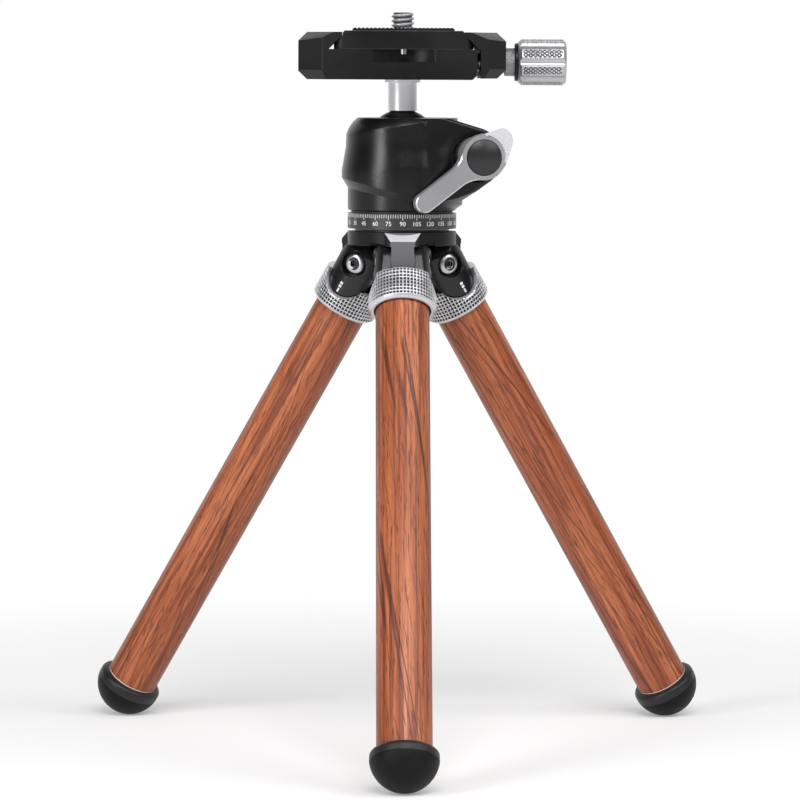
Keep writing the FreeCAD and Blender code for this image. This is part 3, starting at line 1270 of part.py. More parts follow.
HEAD_PIECES = {
    "hub": hub,
    "hub_screw": hub_screw,
    "pan_base": pan_base,
    "pan_washer": pan_washer,
    "pan_retainer": pan_retainer,
    "housing": housing,
    "ball": ball,
    "stem": stem,
    "ball_cup": ball_cup,
    "cup_spring": cup_spring,
    "cup_nut": cup_nut,
    "clamp_nut": clamp_nut,
    "clamp_bolt": clamp_bolt,
    "lever_washer": lever_washer,
    "lever": lever,
    "lever_cap": lever_cap,
    "clamp_body": clamp_body,
    "clamp_jaw": clamp_jaw,
    "guide_pins": guide_pins,
    "jaw_springs": jaw_springs,
    "jaw_screw": jaw_screw,
    "jaw_bush": jaw_bush,
    "knob_ring": knob_ring,
    "knob": knob,
    "clamp_screw": clamp_screw,
    "plate": plate,
    "plate_stops": plate_stops,
    "plate_pad": plate_pad,
    "camera_screw": camera_screw,
    "screw_clip": screw_clip,
}


def main():
    """Builds every piece and writes it to its own file."""
    os.makedirs("parts", exist_ok=True)
    for name, make in HEAD_PIECES.items():
        make().exportStep(f"parts/{name}.step")
    for name, make in LEG_PIECES.items():
        drawn = make()
        for side, azimuth in LEG_AZIMUTHS.items():
            on_leg(drawn, azimuth).exportStep(f"parts/{name}_{side}.step")


if __name__ == "__main__":
    main()
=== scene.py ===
"""Looks of a mini tripod with a ball head and a quick-release clamp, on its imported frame.

Lengths are in millimetres and turned into metres where a mesh is made.
"""

import logging
import math
from collections.abc import Iterator, Sequence
from contextlib import contextmanager
from dataclasses import dataclass
from enum import Enum

import bmesh
import bpy
import numpy as np
from mathutils import Matrix, Vector


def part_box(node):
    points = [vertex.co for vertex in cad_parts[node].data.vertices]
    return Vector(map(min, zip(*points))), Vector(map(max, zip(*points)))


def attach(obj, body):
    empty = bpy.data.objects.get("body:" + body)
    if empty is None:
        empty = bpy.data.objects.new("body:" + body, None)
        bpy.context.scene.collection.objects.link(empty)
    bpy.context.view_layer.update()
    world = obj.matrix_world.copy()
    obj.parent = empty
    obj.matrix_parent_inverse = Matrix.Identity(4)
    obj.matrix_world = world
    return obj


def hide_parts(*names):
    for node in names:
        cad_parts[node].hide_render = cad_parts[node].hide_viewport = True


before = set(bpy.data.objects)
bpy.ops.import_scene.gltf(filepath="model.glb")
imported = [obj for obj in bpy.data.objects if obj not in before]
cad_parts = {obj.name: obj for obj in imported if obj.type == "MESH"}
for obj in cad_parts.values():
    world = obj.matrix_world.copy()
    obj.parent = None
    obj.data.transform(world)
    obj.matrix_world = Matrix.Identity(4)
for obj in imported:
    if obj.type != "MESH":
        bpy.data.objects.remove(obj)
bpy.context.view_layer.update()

MM = 0.001
WELD = 1e-7
NODE_WELD = 2e-6
FLAT_ANGLE = 0.3
SMALL_EDGE = 0.1
PATCH_RANGE = (0.35, 0.65)
LEG_AZIMUTHS = {"front": -90.0, "right": 30.0, "left": 150.0}

log = logging.getLogger("tripod")


# Meshes

def grid_faces(columns: int, rows: int, around: bool, along: bool) -> np.ndarray:
    """Corner numbers of the quads between a grid's neighbouring points.

    Args:
        columns: points in the first direction.
        rows: points in the second direction.
        around: whether the last column joins the first.
        along: whether the last row joins the first.

    Returns:
        One row of four corner numbers for each quad.
    """
    column = np.arange(columns if around else columns - 1)
    row = np.arange(rows if along else rows - 1)
    i, j = np.meshgrid(column, row, indexing="ij")
    i_next = (i + 1) % columns
    j_next = (j + 1) % rows
    corners = [i * rows + j, i_next * rows + j, i_next * rows + j_next, i * rows + j_next]
    return np.stack(corners, axis=-1).reshape(-1, 4)


def box_faces(count: int) -> np.ndarray:
    """The quads of a number of boxes with eight corners each: four below, four above."""
    box = np.array([
        [0, 1, 2, 3], [7, 6, 5, 4], [0, 4, 5, 1], [1, 5, 6, 2], [2, 6, 7, 3], [3, 7, 4, 0],
    ])
    return (np.arange(count)[:, None, None] * 8 + box).reshape(-1, 4)


def tab_boxes(
    angle: np.ndarray, width: np.ndarray, low: np.ndarray, high: np.ndarray,
    inner: float, outer: float,
) -> tuple[np.ndarray, np.ndarray]:
    """Small flat boxes that lie on a cylinder about Z.

    A corner stands at its box's angle, half the width to the left or right of it,
    on the inner or outer radius, at the low or high end.

    Args:
        angle: each box's angle, 0 toward -Y and rising toward +X.
        width: each box's width along the cylinder.
        low: each box's lower end.
        high: each box's upper end.
        inner: radius of the hidden inner faces.
        outer: radius of the visible outer faces.

    Returns:
        The points and the quads' corner numbers.
    """
    side = np.array([-1, 1, 1, -1, -1, 1, 1, -1]) / 2
    radius = np.array([inner, inner, outer, outer] * 2)
    upper = np.array([0, 0, 0, 0, 1, 1, 1, 1])
    across = width[:, None] * side
    height = low[:, None] + (high - low)[:, None] * upper
    sine = np.sin(angle)[:, None]
    cosine = np.cos(angle)[:, None]
    x = radius * sine + across * cosine
    y = -radius * cosine + across * sine
    return np.stack([x, y, height], axis=-1).reshape(-1, 3), box_faces(len(angle))


def smooth_step(low: float, high: float, value: np.ndarray) -> np.ndarray:
    """0 below low, 1 above high and a smooth rise between them."""
    share = np.clip((value - low) / (high - low), 0, 1)
    return share * share * (3 - 2 * share)


def triangle_wave(value: np.ndarray) -> np.ndarray:
    """0 at every whole number, 1 halfway between two of them and straight in between."""
    return 1 - np.abs(2 * (value - np.floor(value)) - 1)


def turned_grid(profile: np.ndarray, columns: int) -> np.ndarray:
    """A profile turned about Z: radius times sine, minus radius times cosine, height.

    Args:
        profile: rows of radius and height, or one such list for each column.
        columns: number of points around.

    Returns:
        Points in the shape (columns, rows, 3).
    """
    angle = np.linspace(0, 2 * np.pi, columns, endpoint=False)[:, None]
    profile = np.broadcast_to(profile, (columns,) + profile.shape[-2:])
    radius = profile[..., 0]
    return np.stack(
        [radius * np.sin(angle), -radius * np.cos(angle), profile[..., 1]], axis=-1
    )


def diamond_crest(
    turn: np.ndarray, rows: np.ndarray, around: int, pitch: float, steepness: float,
) -> np.ndarray:
    """How much of a diamond knurl stands at each place: 1 on a diamond, 0 in a groove.

    It is the lower of two triangle waves, which lean to opposite sides, cut off flat.

    Args:
        turn: shares of a turn.
        rows: places along the axis in millimetres.
        around: number of diamonds in a turn.
        pitch: length of a diamond along the axis.
        steepness: how fast the grooves' sides rise.

    Returns:
        The crest's height as a share of the knurl's depth.
    """
    lean = rows / pitch
    both = np.minimum(triangle_wave(turn * around + lean), triangle_wave(turn * around - lean))
    return np.minimum(1, steepness * both)


def hollow_mask(grid: np.ndarray, pits: np.ndarray, before: int) -> dict[str, np.ndarray]:
    """The attribute that tells a knurled finish where to paint shade: how deep each point of a grid
    lies in the knurl.

    Args:
        grid: the piece's points.
        pits: 1 at the bottom of the knurl and 0 outside it, for the knurled rows.
        before: number of plain rows before the knurled ones.

    Returns:
        The attribute by its name.
    """
    # 1 where the knurl's pits get painted shade, 0 on plain rows.
    hollow = np.zeros_like(grid)
    hollow[:, before:before + pits.shape[1]] = pits[..., None]
    return {"hollow": hollow}


def leg_to_frame(points: np.ndarray, azimuth: float, spread: float, pivot: tuple) -> np.ndarray:
    """Moves points from a leg's own drawing to the leg as it stands.

    The drawing has the pivot at the origin and the leg down -Z. It is turned outward
    about Y, moved out and up to the pivot, and turned to the leg's azimuth.

    Args:
        points: points in the leg's drawing.
        azimuth: the leg's direction in degrees.
        spread: angle between the leg and the vertical in degrees.
        pivot: the pivot's distance from the axis and its height.

    Returns:
        The points in the tripod's frame.
    """
    tilt = math.radians(spread)
    x = points[..., 0] * math.cos(tilt) - points[..., 2] * math.sin(tilt) + pivot[0]
    z = points[..., 0] * math.sin(tilt) + points[..., 2] * math.cos(tilt) + pivot[1]
    turn = math.radians(azimuth)
    east = x * math.cos(turn) - points[..., 1] * math.sin(turn)
    north = x * math.sin(turn) + points[..., 1] * math.cos(turn)
    return np.stack([east, north, z], axis=-1)


def aimed_right(points: np.ndarray, height: float) -> np.ndarray:
    """Lays a shape turned about Z along +X, at a height: its front stays at the front."""
    return np.stack([points[..., 2], points[..., 1], points[..., 0] + height], axis=-1)


@contextmanager
def editing(mesh: bpy.types.Mesh) -> Iterator[bmesh.types.BMesh]:
    """A mesh's editable form, which is written back to the mesh at the end.

    Args:
        mesh: the mesh to edit.

    Returns:
        The editable form, for a with block.
    """
    work = bmesh.new()
    work.from_mesh(mesh)
    yield work
    work.to_mesh(mesh)
    work.free()


def mesh_points(mesh: bpy.types.Mesh) -> np.ndarray:
    """A mesh's points in its own unit, one row for each.

    Args:
        mesh: the mesh.

    Returns:
        The points, in the mesh's order.
    """
    points = np.empty(len(mesh.vertices) * 3, np.float32)
    mesh.vertices.foreach_get("co", points)
    return points.reshape(-1, 3)


def mesh_object(
    name: str, points: np.ndarray, faces: np.ndarray, sharp: float = 35.0,
    attributes: dict[str, np.ndarray] | None = None,
) -> bpy.types.Object:
    """A closed mesh from points in millimetres, with its doubles merged and faces outward.

    Args:
        name: the new object's name.
        points: the points, in any grid shape.
        faces: the faces' corner numbers.
        sharp: angle in degrees above which an edge stays sharp.
        attributes: vectors for each point, by attribute name.

    Returns:
        The new object, linked to the scene.
    """
    mesh = bpy.data.meshes.new(name)
    mesh.from_pydata((points.reshape(-1, 3) * MM).tolist(), [], faces.tolist())
    for attribute, values in (attributes or {}).items():
        layer = mesh.attributes.new(attribute, "FLOAT_VECTOR", "POINT")
        layer.data.foreach_set("vector", values.reshape(-1).astype(np.float32))
    with editing(mesh) as work:
        bmesh.ops.remove_doubles(work, verts=work.verts, dist=WELD)
        bmesh.ops.recalc_face_normals(work, faces=work.faces)
    mesh.shade_smooth()
    mesh.set_sharp_from_angle(angle=math.radians(sharp))
    piece = bpy.data.objects.new(name, mesh)
    bpy.context.scene.collection.objects.link(piece)
    return piece


def grid_object(
    name: str, points: np.ndarray, along: bool, sharp: float = 35.0,
    attributes: dict[str, np.ndarray] | None = None,
) -> bpy.types.Object:
    """A closed piece from a grid that closes around, and also along when told to.

    Args:
        name: the new object's name.
        points: the grid's points, in the shape (columns, rows, 3).
        along: whether the last row joins the first.
        sharp: angle in degrees above which an edge stays sharp.
        attributes: vectors for each point, by attribute name.

    Returns:
        The new object.
    """
    columns, rows = points.shape[:2]
    faces = grid_faces(columns, rows, True, along)
    return mesh_object(name, points, faces, sharp, attributes)


# Node trees

class Wiring:
    """Adds nodes to one node tree and links them."""

    def __init__(self, tree: bpy.types.NodeTree) -> None:
        """Starts on an empty tree."""
        self.tree = tree

    def add(self, kind: str, **settings: object) -> bpy.types.Node:
        """A new node with its properties set.

        Args:
            kind: the node's type.
            settings: its properties, by name.

        Returns:
            The new node.
        """
        node = self.tree.nodes.new(kind)
        for name, value in settings.items():
            setattr(node, name, value)
        return node

    def link(self, source: bpy.types.NodeSocket, target: bpy.types.NodeSocket) -> None:
        """Links an output to an input."""
        self.tree.links.new(source, target)

    def feed(self, target: bpy.types.NodeSocket, term: object) -> None:
        """Gives an input its term: a link from a socket, a colour or a number.

        Args:
            target: the input.
            term: the socket, colour or number.
        """
        if isinstance(term, bpy.types.NodeSocket):
            self.link(term, target)
        elif isinstance(term, tuple):
            target.default_value = (*term, 1)
        else:
            target.default_value = term

    def sum_of(self, operation: str, first: object, second: object) -> bpy.types.NodeSocket:
        """A Math node's result, where each term is a socket or a number.

        Args:
            operation: the operation's name.
            first: the first term.
            second: the second term.

        Returns:
            The result's socket.
        """
        node = self.add("ShaderNodeMath", operation=operation)
        self.feed(node.inputs[0], first)
        self.feed(node.inputs[1], second)
        return node.outputs[0]

    def blend(self, share: object, first: object, second: object) -> bpy.types.NodeSocket:
        """A colour between two, where each is a socket or a colour.

        Args:
            share: the second colour's share.
            first: the colour at share 0.
            second: the colour at share 1.

        Returns:
            The result's socket.
        """
        node = self.add("ShaderNodeMix", data_type="RGBA")
        self.feed(node.inputs[0], share)
        self.feed(node.inputs[6], first)
        self.feed(node.inputs[7], second)
        return node.outputs[2]

    def noise(
        self, vector: bpy.types.NodeSocket, scale: object, detail: float,
    ) -> bpy.types.NodeSocket:
        """A noise texture's value on a vector.

        Args:
            vector: the place.
            scale: the noise's scale.
            detail: how fine it goes.

        Returns:
            The result's socket.
        """
        node = self.add("ShaderNodeTexNoise")
        node.inputs["Detail"].default_value = detail
        self.link(vector, node.inputs["Vector"])
        self.feed(node.inputs["Scale"], scale)
        return node.outputs["Fac"]

    def ramp(self, value: bpy.types.NodeSocket, low: float, high: float,
             start: object = 0.0, end: object = 1.0) -> bpy.types.NodeSocket:
        """A value brought from one range to another and held at its ends.

        Args:
            value: the value.
            low: where it gives the start.
            high: where it gives the end.
            start: the result at low.
            end: the result at high.

        Returns:
            The result's socket.
        """
        node = self.add("ShaderNodeMapRange", clamp=True)
        self.link(value, node.inputs["Value"])
        node.inputs["From Min"].default_value = low
        node.inputs["From Max"].default_value = high
        self.feed(node.inputs["To Min"], start)
        self.feed(node.inputs["To Max"], end)
        return node.outputs["Result"]

    def stretched(self, vector: bpy.types.NodeSocket, scale: tuple) -> bpy.types.NodeSocket:
        """A vector scaled along each of its axes.

        Args:
            vector: the place.
            scale: a factor for each axis.

        Returns:
            The result's socket.
        """
        node = self.add("ShaderNodeMapping")
        node.inputs["Scale"].default_value = scale
        self.link(vector, node.inputs["Vector"])
        return node.outputs["Vector"]


    def effect(
        self, effect: "Effect", vector: bpy.types.NodeSocket, **values: float,
    ) -> bpy.types.NodeOutputs:
        """A shared effect's outputs, on a vector and with its values set.

        Args:
            effect: the effect.
            vector: the place.
            values: the group's inputs, by name.

        Returns:
            The group's outputs.
        """
        node = self.add("ShaderNodeGroup", node_tree=GROUPS[effect])
        self.link(vector, node.inputs["Vector"])
        for name, value in values.items():
            node.inputs[name].default_value = value
        return node.outputs

    def bump(
        self, shader: bpy.types.Node, height: bpy.types.NodeSocket, depth: float,
        invert: bool = False,
    ) -> None:
        """Gives a shader a bump of a depth in metres.

        Args:
            shader: the shader.
            height: the height's socket.
            depth: the depth.
            invert: whether high values lie deep.
        """
        node = self.add("ShaderNodeBump", invert=invert)
        node.inputs["Distance"].default_value = depth
        node.inputs["Strength"].default_value = 1.0
        self.link(height, node.inputs["Height"])
        self.link(node.outputs["Normal"], shader.inputs["Normal"])


def new_material(name: str) -> tuple[bpy.types.Material, Wiring, bpy.types.Node]:
    """A new material with its wiring and its shader.

    Args:
        name: the material's name.

    Returns:
        The material, its wiring and its shader.
    """
    material = bpy.data.materials.new(name)
    material.use_nodes = True
    return material, Wiring(material.node_tree), material.node_tree.nodes["Principled BSDF"]


class Effect(Enum):
    """The surface effects that several finishes share, as node groups."""

    BLASTED = "blasted grain"
    TURNED = "turned lines"
    SMEARED = "smeared sheen"


def new_group(effect: Effect, inputs: Sequence[tuple[str, str]], outputs: Sequence[str]) -> tuple:
    """An empty shader node group with its sockets.

    Args:
        effect: the effect that the group is for.
        inputs: names and kinds of the inputs.
        outputs: names of the outputs, all values.

    Returns:
        The group, its wiring, its input node and its output node.
    """
    tree = bpy.data.node_groups.new(effect.value, "ShaderNodeTree")
    for name, kind in inputs:
        tree.interface.new_socket(name=name, in_out="INPUT", socket_type=kind)
    for name in outputs:
        tree.interface.new_socket(name=name, in_out="OUTPUT", socket_type="NodeSocketFloat")
    wiring = Wiring(tree)
    return tree, wiring, wiring.add("NodeGroupInput"), wiring.add("NodeGroupOutput")


def blasted_group() -> bpy.types.NodeTree:
    """Fine even grain, as blasting or moulding leaves it: two noises, one four times finer.

    Returns:
        The group.
    """
    tree, wiring, start, end = new_group(
        Effect.BLASTED,
        [("Vector", "NodeSocketVector"), ("Scale", "NodeSocketFloat")],
        ["Height"],
    )
    coarse = wiring.noise(start.outputs["Vector"], start.outputs["Scale"], 1.0)
    finer = wiring.sum_of("MULTIPLY", start.outputs["Scale"], 4.0)
    fine = wiring.noise(start.outputs["Vector"], finer, 2.0)
    mixed = wiring.sum_of("ADD", coarse, fine)
    wiring.link(wiring.sum_of("MULTIPLY", mixed, 0.5), end.inputs["Height"])
    return tree


def turned_group() -> bpy.types.NodeTree:
    """Rings round the Z axis, as a lathe leaves them: noise on radius and height only.

    Returns:
        The group.
    """
    tree, wiring, start, end = new_group(
        Effect.TURNED,
        [("Vector", "NodeSocketVector"), ("Scale", "NodeSocketFloat")],
        ["Height"],
    )
    parts = wiring.add("ShaderNodeSeparateXYZ")
    wiring.link(start.outputs["Vector"], parts.inputs[0])
    x_squared = wiring.sum_of("POWER", parts.outputs[0], 2.0)
    y_squared = wiring.sum_of("POWER", parts.outputs[1], 2.0)
    radius = wiring.sum_of("SQRT", wiring.sum_of("ADD", x_squared, y_squared), 0.0)
    joined = wiring.add("ShaderNodeCombineXYZ")
    wiring.link(radius, joined.inputs[0])
    wiring.link(parts.outputs[2], joined.inputs[1])
    lines = wiring.noise(joined.outputs[0], start.outputs["Scale"], 2.0)
    wiring.link(lines, end.inputs["Height"])
    return tree


def smeared_group() -> bpy.types.NodeTree:
    """Soft patches between a low and a high value, for sheen and tint that vary.

    Returns:
        The group.
    """
    tree, wiring, start, end = new_group(
        Effect.SMEARED,
        [("Vector", "NodeSocketVector"), ("Scale", "NodeSocketFloat"),
         ("Low", "NodeSocketFloat"), ("High", "NodeSocketFloat")],
        ["Value", "Share"],
    )
    patches = wiring.noise(start.outputs["Vector"], start.outputs["Scale"], 3.0)
    value = wiring.ramp(patches, *PATCH_RANGE, start.outputs["Low"], start.outputs["High"])
    wiring.link(value, end.inputs["Value"])
    wiring.link(wiring.ramp(patches, *PATCH_RANGE), end.inputs["Share"])
    return tree


GROUPS: dict[Effect, bpy.types.NodeTree] = {
    Effect.BLASTED: blasted_group(),
    Effect.TURNED: turned_group(),
    Effect.SMEARED: smeared_group(),
}


# Finishes

@dataclass(frozen=True)
class Finish:
    """A metal, rubber, plastic or printed finish with its grain.

    Scales are patterns per metre and depths are in metres. The pit colour is painted shade:
    it lies where a piece's attribute of the same name is 1, at the bottom of its knurl.
    """

    name: str
    slot: str
    colour: tuple[float, float, float]
    tint: tuple[float, float, float]
    roughness: tuple[float, float]
    metallic: float = 0.0
    gloss: float = 0.5
    effect: Effect = Effect.BLASTED
    grain_scale: float = 2500.0
    grain_depth: float = 0.00002
    patch_scale: float = 60.0
    # Near-black for the bottom of a knurl's pits: painted shade.
    hollow: tuple[float, float, float] | None = None

    def material(self) -> bpy.types.Material:
        """The finish's material, made at its first use."""
        made = bpy.data.materials.get(self.name)
        return made or self._make()

    def _make(self) -> bpy.types.Material:
        """Builds the shader: tint and roughness in patches, painted shade in pits, grain as bump.

        Returns:
            The new material.
        """
        material, wiring, shader = new_material(self.name)
        place = wiring.add("ShaderNodeTexCoord").outputs["Object"]
        low, high = self.roughness
        grain = wiring.effect(self.effect, place, Scale=self.grain_scale)
        patches = wiring.effect(Effect.SMEARED, place, Scale=self.patch_scale, Low=low, High=high)
        tinted = wiring.blend(patches["Share"], self.colour, self.tint)
        # Painted shade: the pits darken toward the pit colour by the piece's attribute.
        if self.hollow is not None:
            depth = wiring.add("ShaderNodeAttribute", attribute_name="hollow").outputs["Fac"]
            tinted = wiring.blend(depth, tinted, self.hollow)
        wiring.link(tinted, shader.inputs["Base Color"])
        wiring.link(patches["Value"], shader.inputs["Roughness"])
        wiring.bump(shader, grain["Height"], self.grain_depth)
        shader.inputs["Metallic"].default_value = self.metallic
        shader.inputs["Specular IOR Level"].default_value = self.gloss
        return material


@dataclass(frozen=True)
class Streaks:
    """One layer of the printed grain: stretched noise that fades in between two levels."""

    stretch: tuple[float, float, float]
    low: float
    high: float
    most: float = 1.0
    detail: float = 2.0

    def mask(self, wiring: Wiring, vector: bpy.types.NodeSocket) -> bpy.types.NodeSocket:
        """How much of the layer shows, from 0 to its most."""
        noise = wiring.noise(wiring.stretched(vector, self.stretch), 1.0, self.detail)
        return wiring.ramp(noise, self.low, self.high, 0.0, self.most)


@dataclass(frozen=True)
class WoodFinish:
    """Printed rosewood under clear varnish: streaks, short dark pores, a few long lines, painted
    side shade.

    The pattern reads two attributes in millimetres: the leg's own place, and the same
    place twisted about the leg, so that lines run at a slant.
    """

    name: str = "rosewood_print"
    slot: str = "wood_tube"
    light: tuple[float, float, float] = (0.49, 0.155, 0.062)
    middle: tuple[float, float, float] = (0.31, 0.076, 0.026)
    deep: tuple[float, float, float] = (0.15, 0.031, 0.011)
    pore: tuple[float, float, float] = (0.060, 0.016, 0.009)
    line: tuple[float, float, float] = (0.055, 0.014, 0.010)
    broad: Streaks = Streaks((0.50, 0.50, 0.012), 0.38, 0.62)
    bands: Streaks = Streaks((1.05, 1.05, 0.018), 0.48, 0.66, most=0.85)
    fine: Streaks = Streaks((3.4, 3.4, 0.060), 0.50, 0.72, most=0.55)
    straight_pores: Streaks = Streaks((2.4, 2.4, 0.15), 0.61, 0.67, detail=1.0)
    slanted_pores: Streaks = Streaks((2.4, 2.4, 0.15), 0.63, 0.69, detail=1.0)
    line_gaps: Streaks = Streaks((0.20, 0.20, 0.030), 0.38, 0.50, detail=0.0)
    line_stretch: tuple[float, float, float] = (0.30, 0.30, 0.004)
    line_fade: tuple[float, float] = (0.006, 0.030)
    pore_share: float = 0.65
    line_share: float = 0.80
    # Painted shade: where the tube turns away from the view, its colour fades toward the deep
    # colour, between these facing levels and up to this share.
    edge_fade: tuple[float, float] = (0.25, 0.85)
    edge_share: float = 0.45
    roughness: tuple[float, float] = (0.45, 0.6)
    gloss: float = 0.2
    varnish: float = 0.35
    varnish_roughness: float = 0.30
    pore_depth: float = 0.00002

    def material(self) -> bpy.types.Material:
        """The finish's material, made at its first use."""
        made = bpy.data.materials.get(self.name)
        return made or self._make()

    def _make(self) -> bpy.types.Material:
        """Builds the shader from the twisted places of the grain, with painted shade toward the
        sides.

        Returns:
            The new material.
        """
        material, wiring, shader = new_material(self.name)
        straight, slanted = (
            wiring.add("ShaderNodeAttribute", attribute_name=name).outputs["Vector"]
            for name in ("grain_straight", "grain_slanted")
        )
        body = wiring.blend(self.broad.mask(wiring, straight), self.middle, self.light)
        body = wiring.blend(self.bands.mask(wiring, straight), body, self.deep)
        body = wiring.blend(self.fine.mask(wiring, straight), body, self.deep)
        pores = wiring.sum_of(
            "MAXIMUM", self.straight_pores.mask(wiring, straight),
            self.slanted_pores.mask(wiring, slanted),
        )
        body = wiring.blend(wiring.sum_of("MULTIPLY", pores, self.pore_share), body, self.pore)
        wide = wiring.noise(wiring.stretched(slanted, self.line_stretch), 1.0, 0.0)
        near = wiring.sum_of("ABSOLUTE", wiring.sum_of("SUBTRACT", wide, 0.5), 0.0)
        thin = wiring.ramp(near, *self.line_fade, 1.0, 0.0)
        marked = wiring.sum_of("MULTIPLY", thin, self.line_gaps.mask(wiring, slanted))
        body = wiring.blend(wiring.sum_of("MULTIPLY", marked, self.line_share), body, self.line)
        # Painted shade on the tube's sides, darker as the surface turns away from the view.
        turned_away = wiring.add("ShaderNodeLayerWeight").outputs["Facing"]
        painted_side_shade = wiring.ramp(turned_away, *self.edge_fade, 0.0, self.edge_share)
        wiring.link(wiring.blend(painted_side_shade, body, self.deep), shader.inputs["Base Color"])
        wiring.link(wiring.ramp(pores, 0.0, 1.0, *self.roughness), shader.inputs["Roughness"])
        wiring.bump(shader, pores, self.pore_depth, invert=True)
        shader.inputs["Specular IOR Level"].default_value = self.gloss
        shader.inputs["Coat Weight"].default_value = self.varnish
        shader.inputs["Coat Roughness"].default_value = self.varnish_roughness
        return material


BLACK = Finish("blasted_black", "black_anodised", (0.006, 0.006, 0.0065), (0.009, 0.009, 0.0097),
               (0.30, 0.40), gloss=0.2, grain_depth=0.00003)
# Painted highlight: a paler, glossier black on the broken edges, standing in for their glints.
BLACK_PAINTED_GLINT = Finish("black_painted_glint", "black_anodised", (0.065, 0.065, 0.068), (0.085, 0.085, 0.089),
                    (0.18, 0.24), gloss=0.9, grain_depth=0.000008)
HOUSING_BLACK = Finish("housing_black", "black_anodised", (0.004, 0.004, 0.0044),
                       (0.006, 0.006, 0.0065), (0.24, 0.30), gloss=0.42, grain_depth=0.000015)
PAN_BLACK = Finish("pan_black", "black_anodised", (0.022, 0.022, 0.0235), (0.030, 0.030, 0.032),
                   (0.36, 0.44))
FORK_BLACK = Finish("fork_black", "black_anodised", (0.006, 0.006, 0.0065), (0.010, 0.010, 0.0107),
                    (0.20, 0.28), gloss=0.4)
LUG_FACE = Finish("lug_face", "black_anodised", (0.100, 0.100, 0.105), (0.112, 0.112, 0.118),
                  (0.45, 0.55), gloss=0.4, grain_scale=5000.0)
LUG_BEVEL = Finish("lug_bevel", "black_anodised", (0.48, 0.48, 0.51), (0.52, 0.52, 0.55),
                   (0.40, 0.50), gloss=0.4, grain_scale=5000.0)
SILVER = Finish("blasted_silver", "silver_anodised", (0.60, 0.60, 0.62), (0.53, 0.53, 0.55),
                (0.22, 0.32), metallic=1.0, grain_depth=0.00001)
# Both knurled silvers darken their pits toward near-black: painted shade.
KNURLED = Finish("silver_knurl", "silver_anodised", (0.66, 0.66, 0.68), (0.58, 0.58, 0.60),
                 (0.30, 0.40), metallic=0.75, grain_depth=0.00001, hollow=(0.030, 0.030, 0.033))
KNOB_SILVER = Finish("knob_silver", "silver_anodised", (0.50, 0.50, 0.52), (0.43, 0.43, 0.45),
                     (0.34, 0.44), metallic=0.75, grain_depth=0.00001,
                     hollow=(0.060, 0.060, 0.064))
GREY = Finish("blasted_grey", "grey_anodised", (0.23, 0.23, 0.241), (0.26, 0.26, 0.272),
              (0.45, 0.55), metallic=0.35, grain_scale=5000.0, grain_depth=0.000012)
GREY_EDGE = Finish("grey_edge", "grey_anodised", (0.66, 0.66, 0.68), (0.60, 0.60, 0.62),
                   (0.22, 0.30), metallic=0.8, grain_depth=0.000006)
# Painted light: a paler copy of the lever's grey for its ear, which turns up toward the light.
GREY_EAR_PAINTED_LIGHT = Finish("grey_ear_painted_light", "grey_anodised", (0.62, 0.62, 0.65), (0.58, 0.58, 0.61),
                  (0.45, 0.55), metallic=0.2, grain_scale=5000.0, grain_depth=0.000012)
POLISHED = Finish("turned_steel", "polished_steel", (0.86, 0.86, 0.89), (0.80, 0.80, 0.83),
                  (0.30, 0.38), metallic=0.40, effect=Effect.TURNED, grain_scale=9000.0,
                  grain_depth=0.000004)
STEEL = Finish("bright_steel", "steel", (0.36, 0.36, 0.375), (0.30, 0.30, 0.315), (0.26, 0.36),
               metallic=1.0, grain_depth=0.000008)
SCREW_STEEL = Finish("screw_steel", "steel", (0.58, 0.58, 0.60), (0.50, 0.50, 0.52), (0.24, 0.32),
                     metallic=1.0, grain_depth=0.000012)
# Painted shade: near-black steel in the key's socket, standing in for the shade inside it.
SOCKET_PAINTED_SHADE = Finish("socket_painted_shade", "steel", (0.030, 0.030, 0.032), (0.045, 0.045, 0.047),
                     (0.30, 0.40), metallic=1.0)
RUBBER = Finish("moulded_rubber", "black_rubber", (0.006, 0.006, 0.0066), (0.010, 0.010, 0.0106),
                (0.44, 0.54), gloss=0.12, grain_scale=3500.0, grain_depth=0.00004)
RUBBER_BAND = Finish("rubber_band", "black_rubber", (0.014, 0.014, 0.015), (0.019, 0.019, 0.020),
                     (0.36, 0.46), gloss=0.3, grain_scale=3500.0, grain_depth=0.00003)
SLIP_PLASTIC = Finish("slip_plastic", "plastic", (0.30, 0.30, 0.31), (0.25, 0.25, 0.26),
                      (0.45, 0.55))
WASHER_BLACK = Finish("washer_black", "black_plastic", (0.014, 0.014, 0.015),
                      (0.020, 0.020, 0.021), (0.45, 0.55))
CAP_PLASTIC = Finish("cap_plastic", "black_plastic", (0.009, 0.009, 0.010), (0.012, 0.012, 0.013),
                     (0.28, 0.34), grain_depth=0.000004)
PRINT = Finish("white_print", "plastic", (0.72, 0.72, 0.73), (0.64, 0.64, 0.65), (0.50, 0.60),
               grain_scale=6000.0, grain_depth=0.00001)
WOOD = WoodFinish()


# Pieces

def settle(piece: bpy.types.Object, body: str, finishes: Sequence[Finish | WoodFinish],
           replaced: Sequence[str] = ()) -> bpy.types.Object:
    """Gives a finished piece its materials and its body, and hides the nodes that it stands for.

    Args:
        piece: the piece, in place.
        body: the body that it rides on.
        finishes: its finishes, in the order of its material slots.
        replaced: nodes of the frame that it stands for.

    Returns:
        The same piece.
    """
    piece.data.materials.clear()
    for finish in finishes:
        piece.data.materials.append(finish.material())
    if replaced:
        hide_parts(*replaced)
    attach(piece, body)
    log.info("%s rides on %s, %d faces", piece.name, body, len(piece.data.polygons))
    return piece


def dress(node: str, finish: Finish) -> None:
    """Gives a node of the frame a finish, in all its material slots.

    Args:
        node: the node's name.
        finish: the finish.
    """
    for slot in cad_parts[node].material_slots:
        slot.material = finish.material()
    log.info("%s keeps its shape, in %s", node, finish.name)


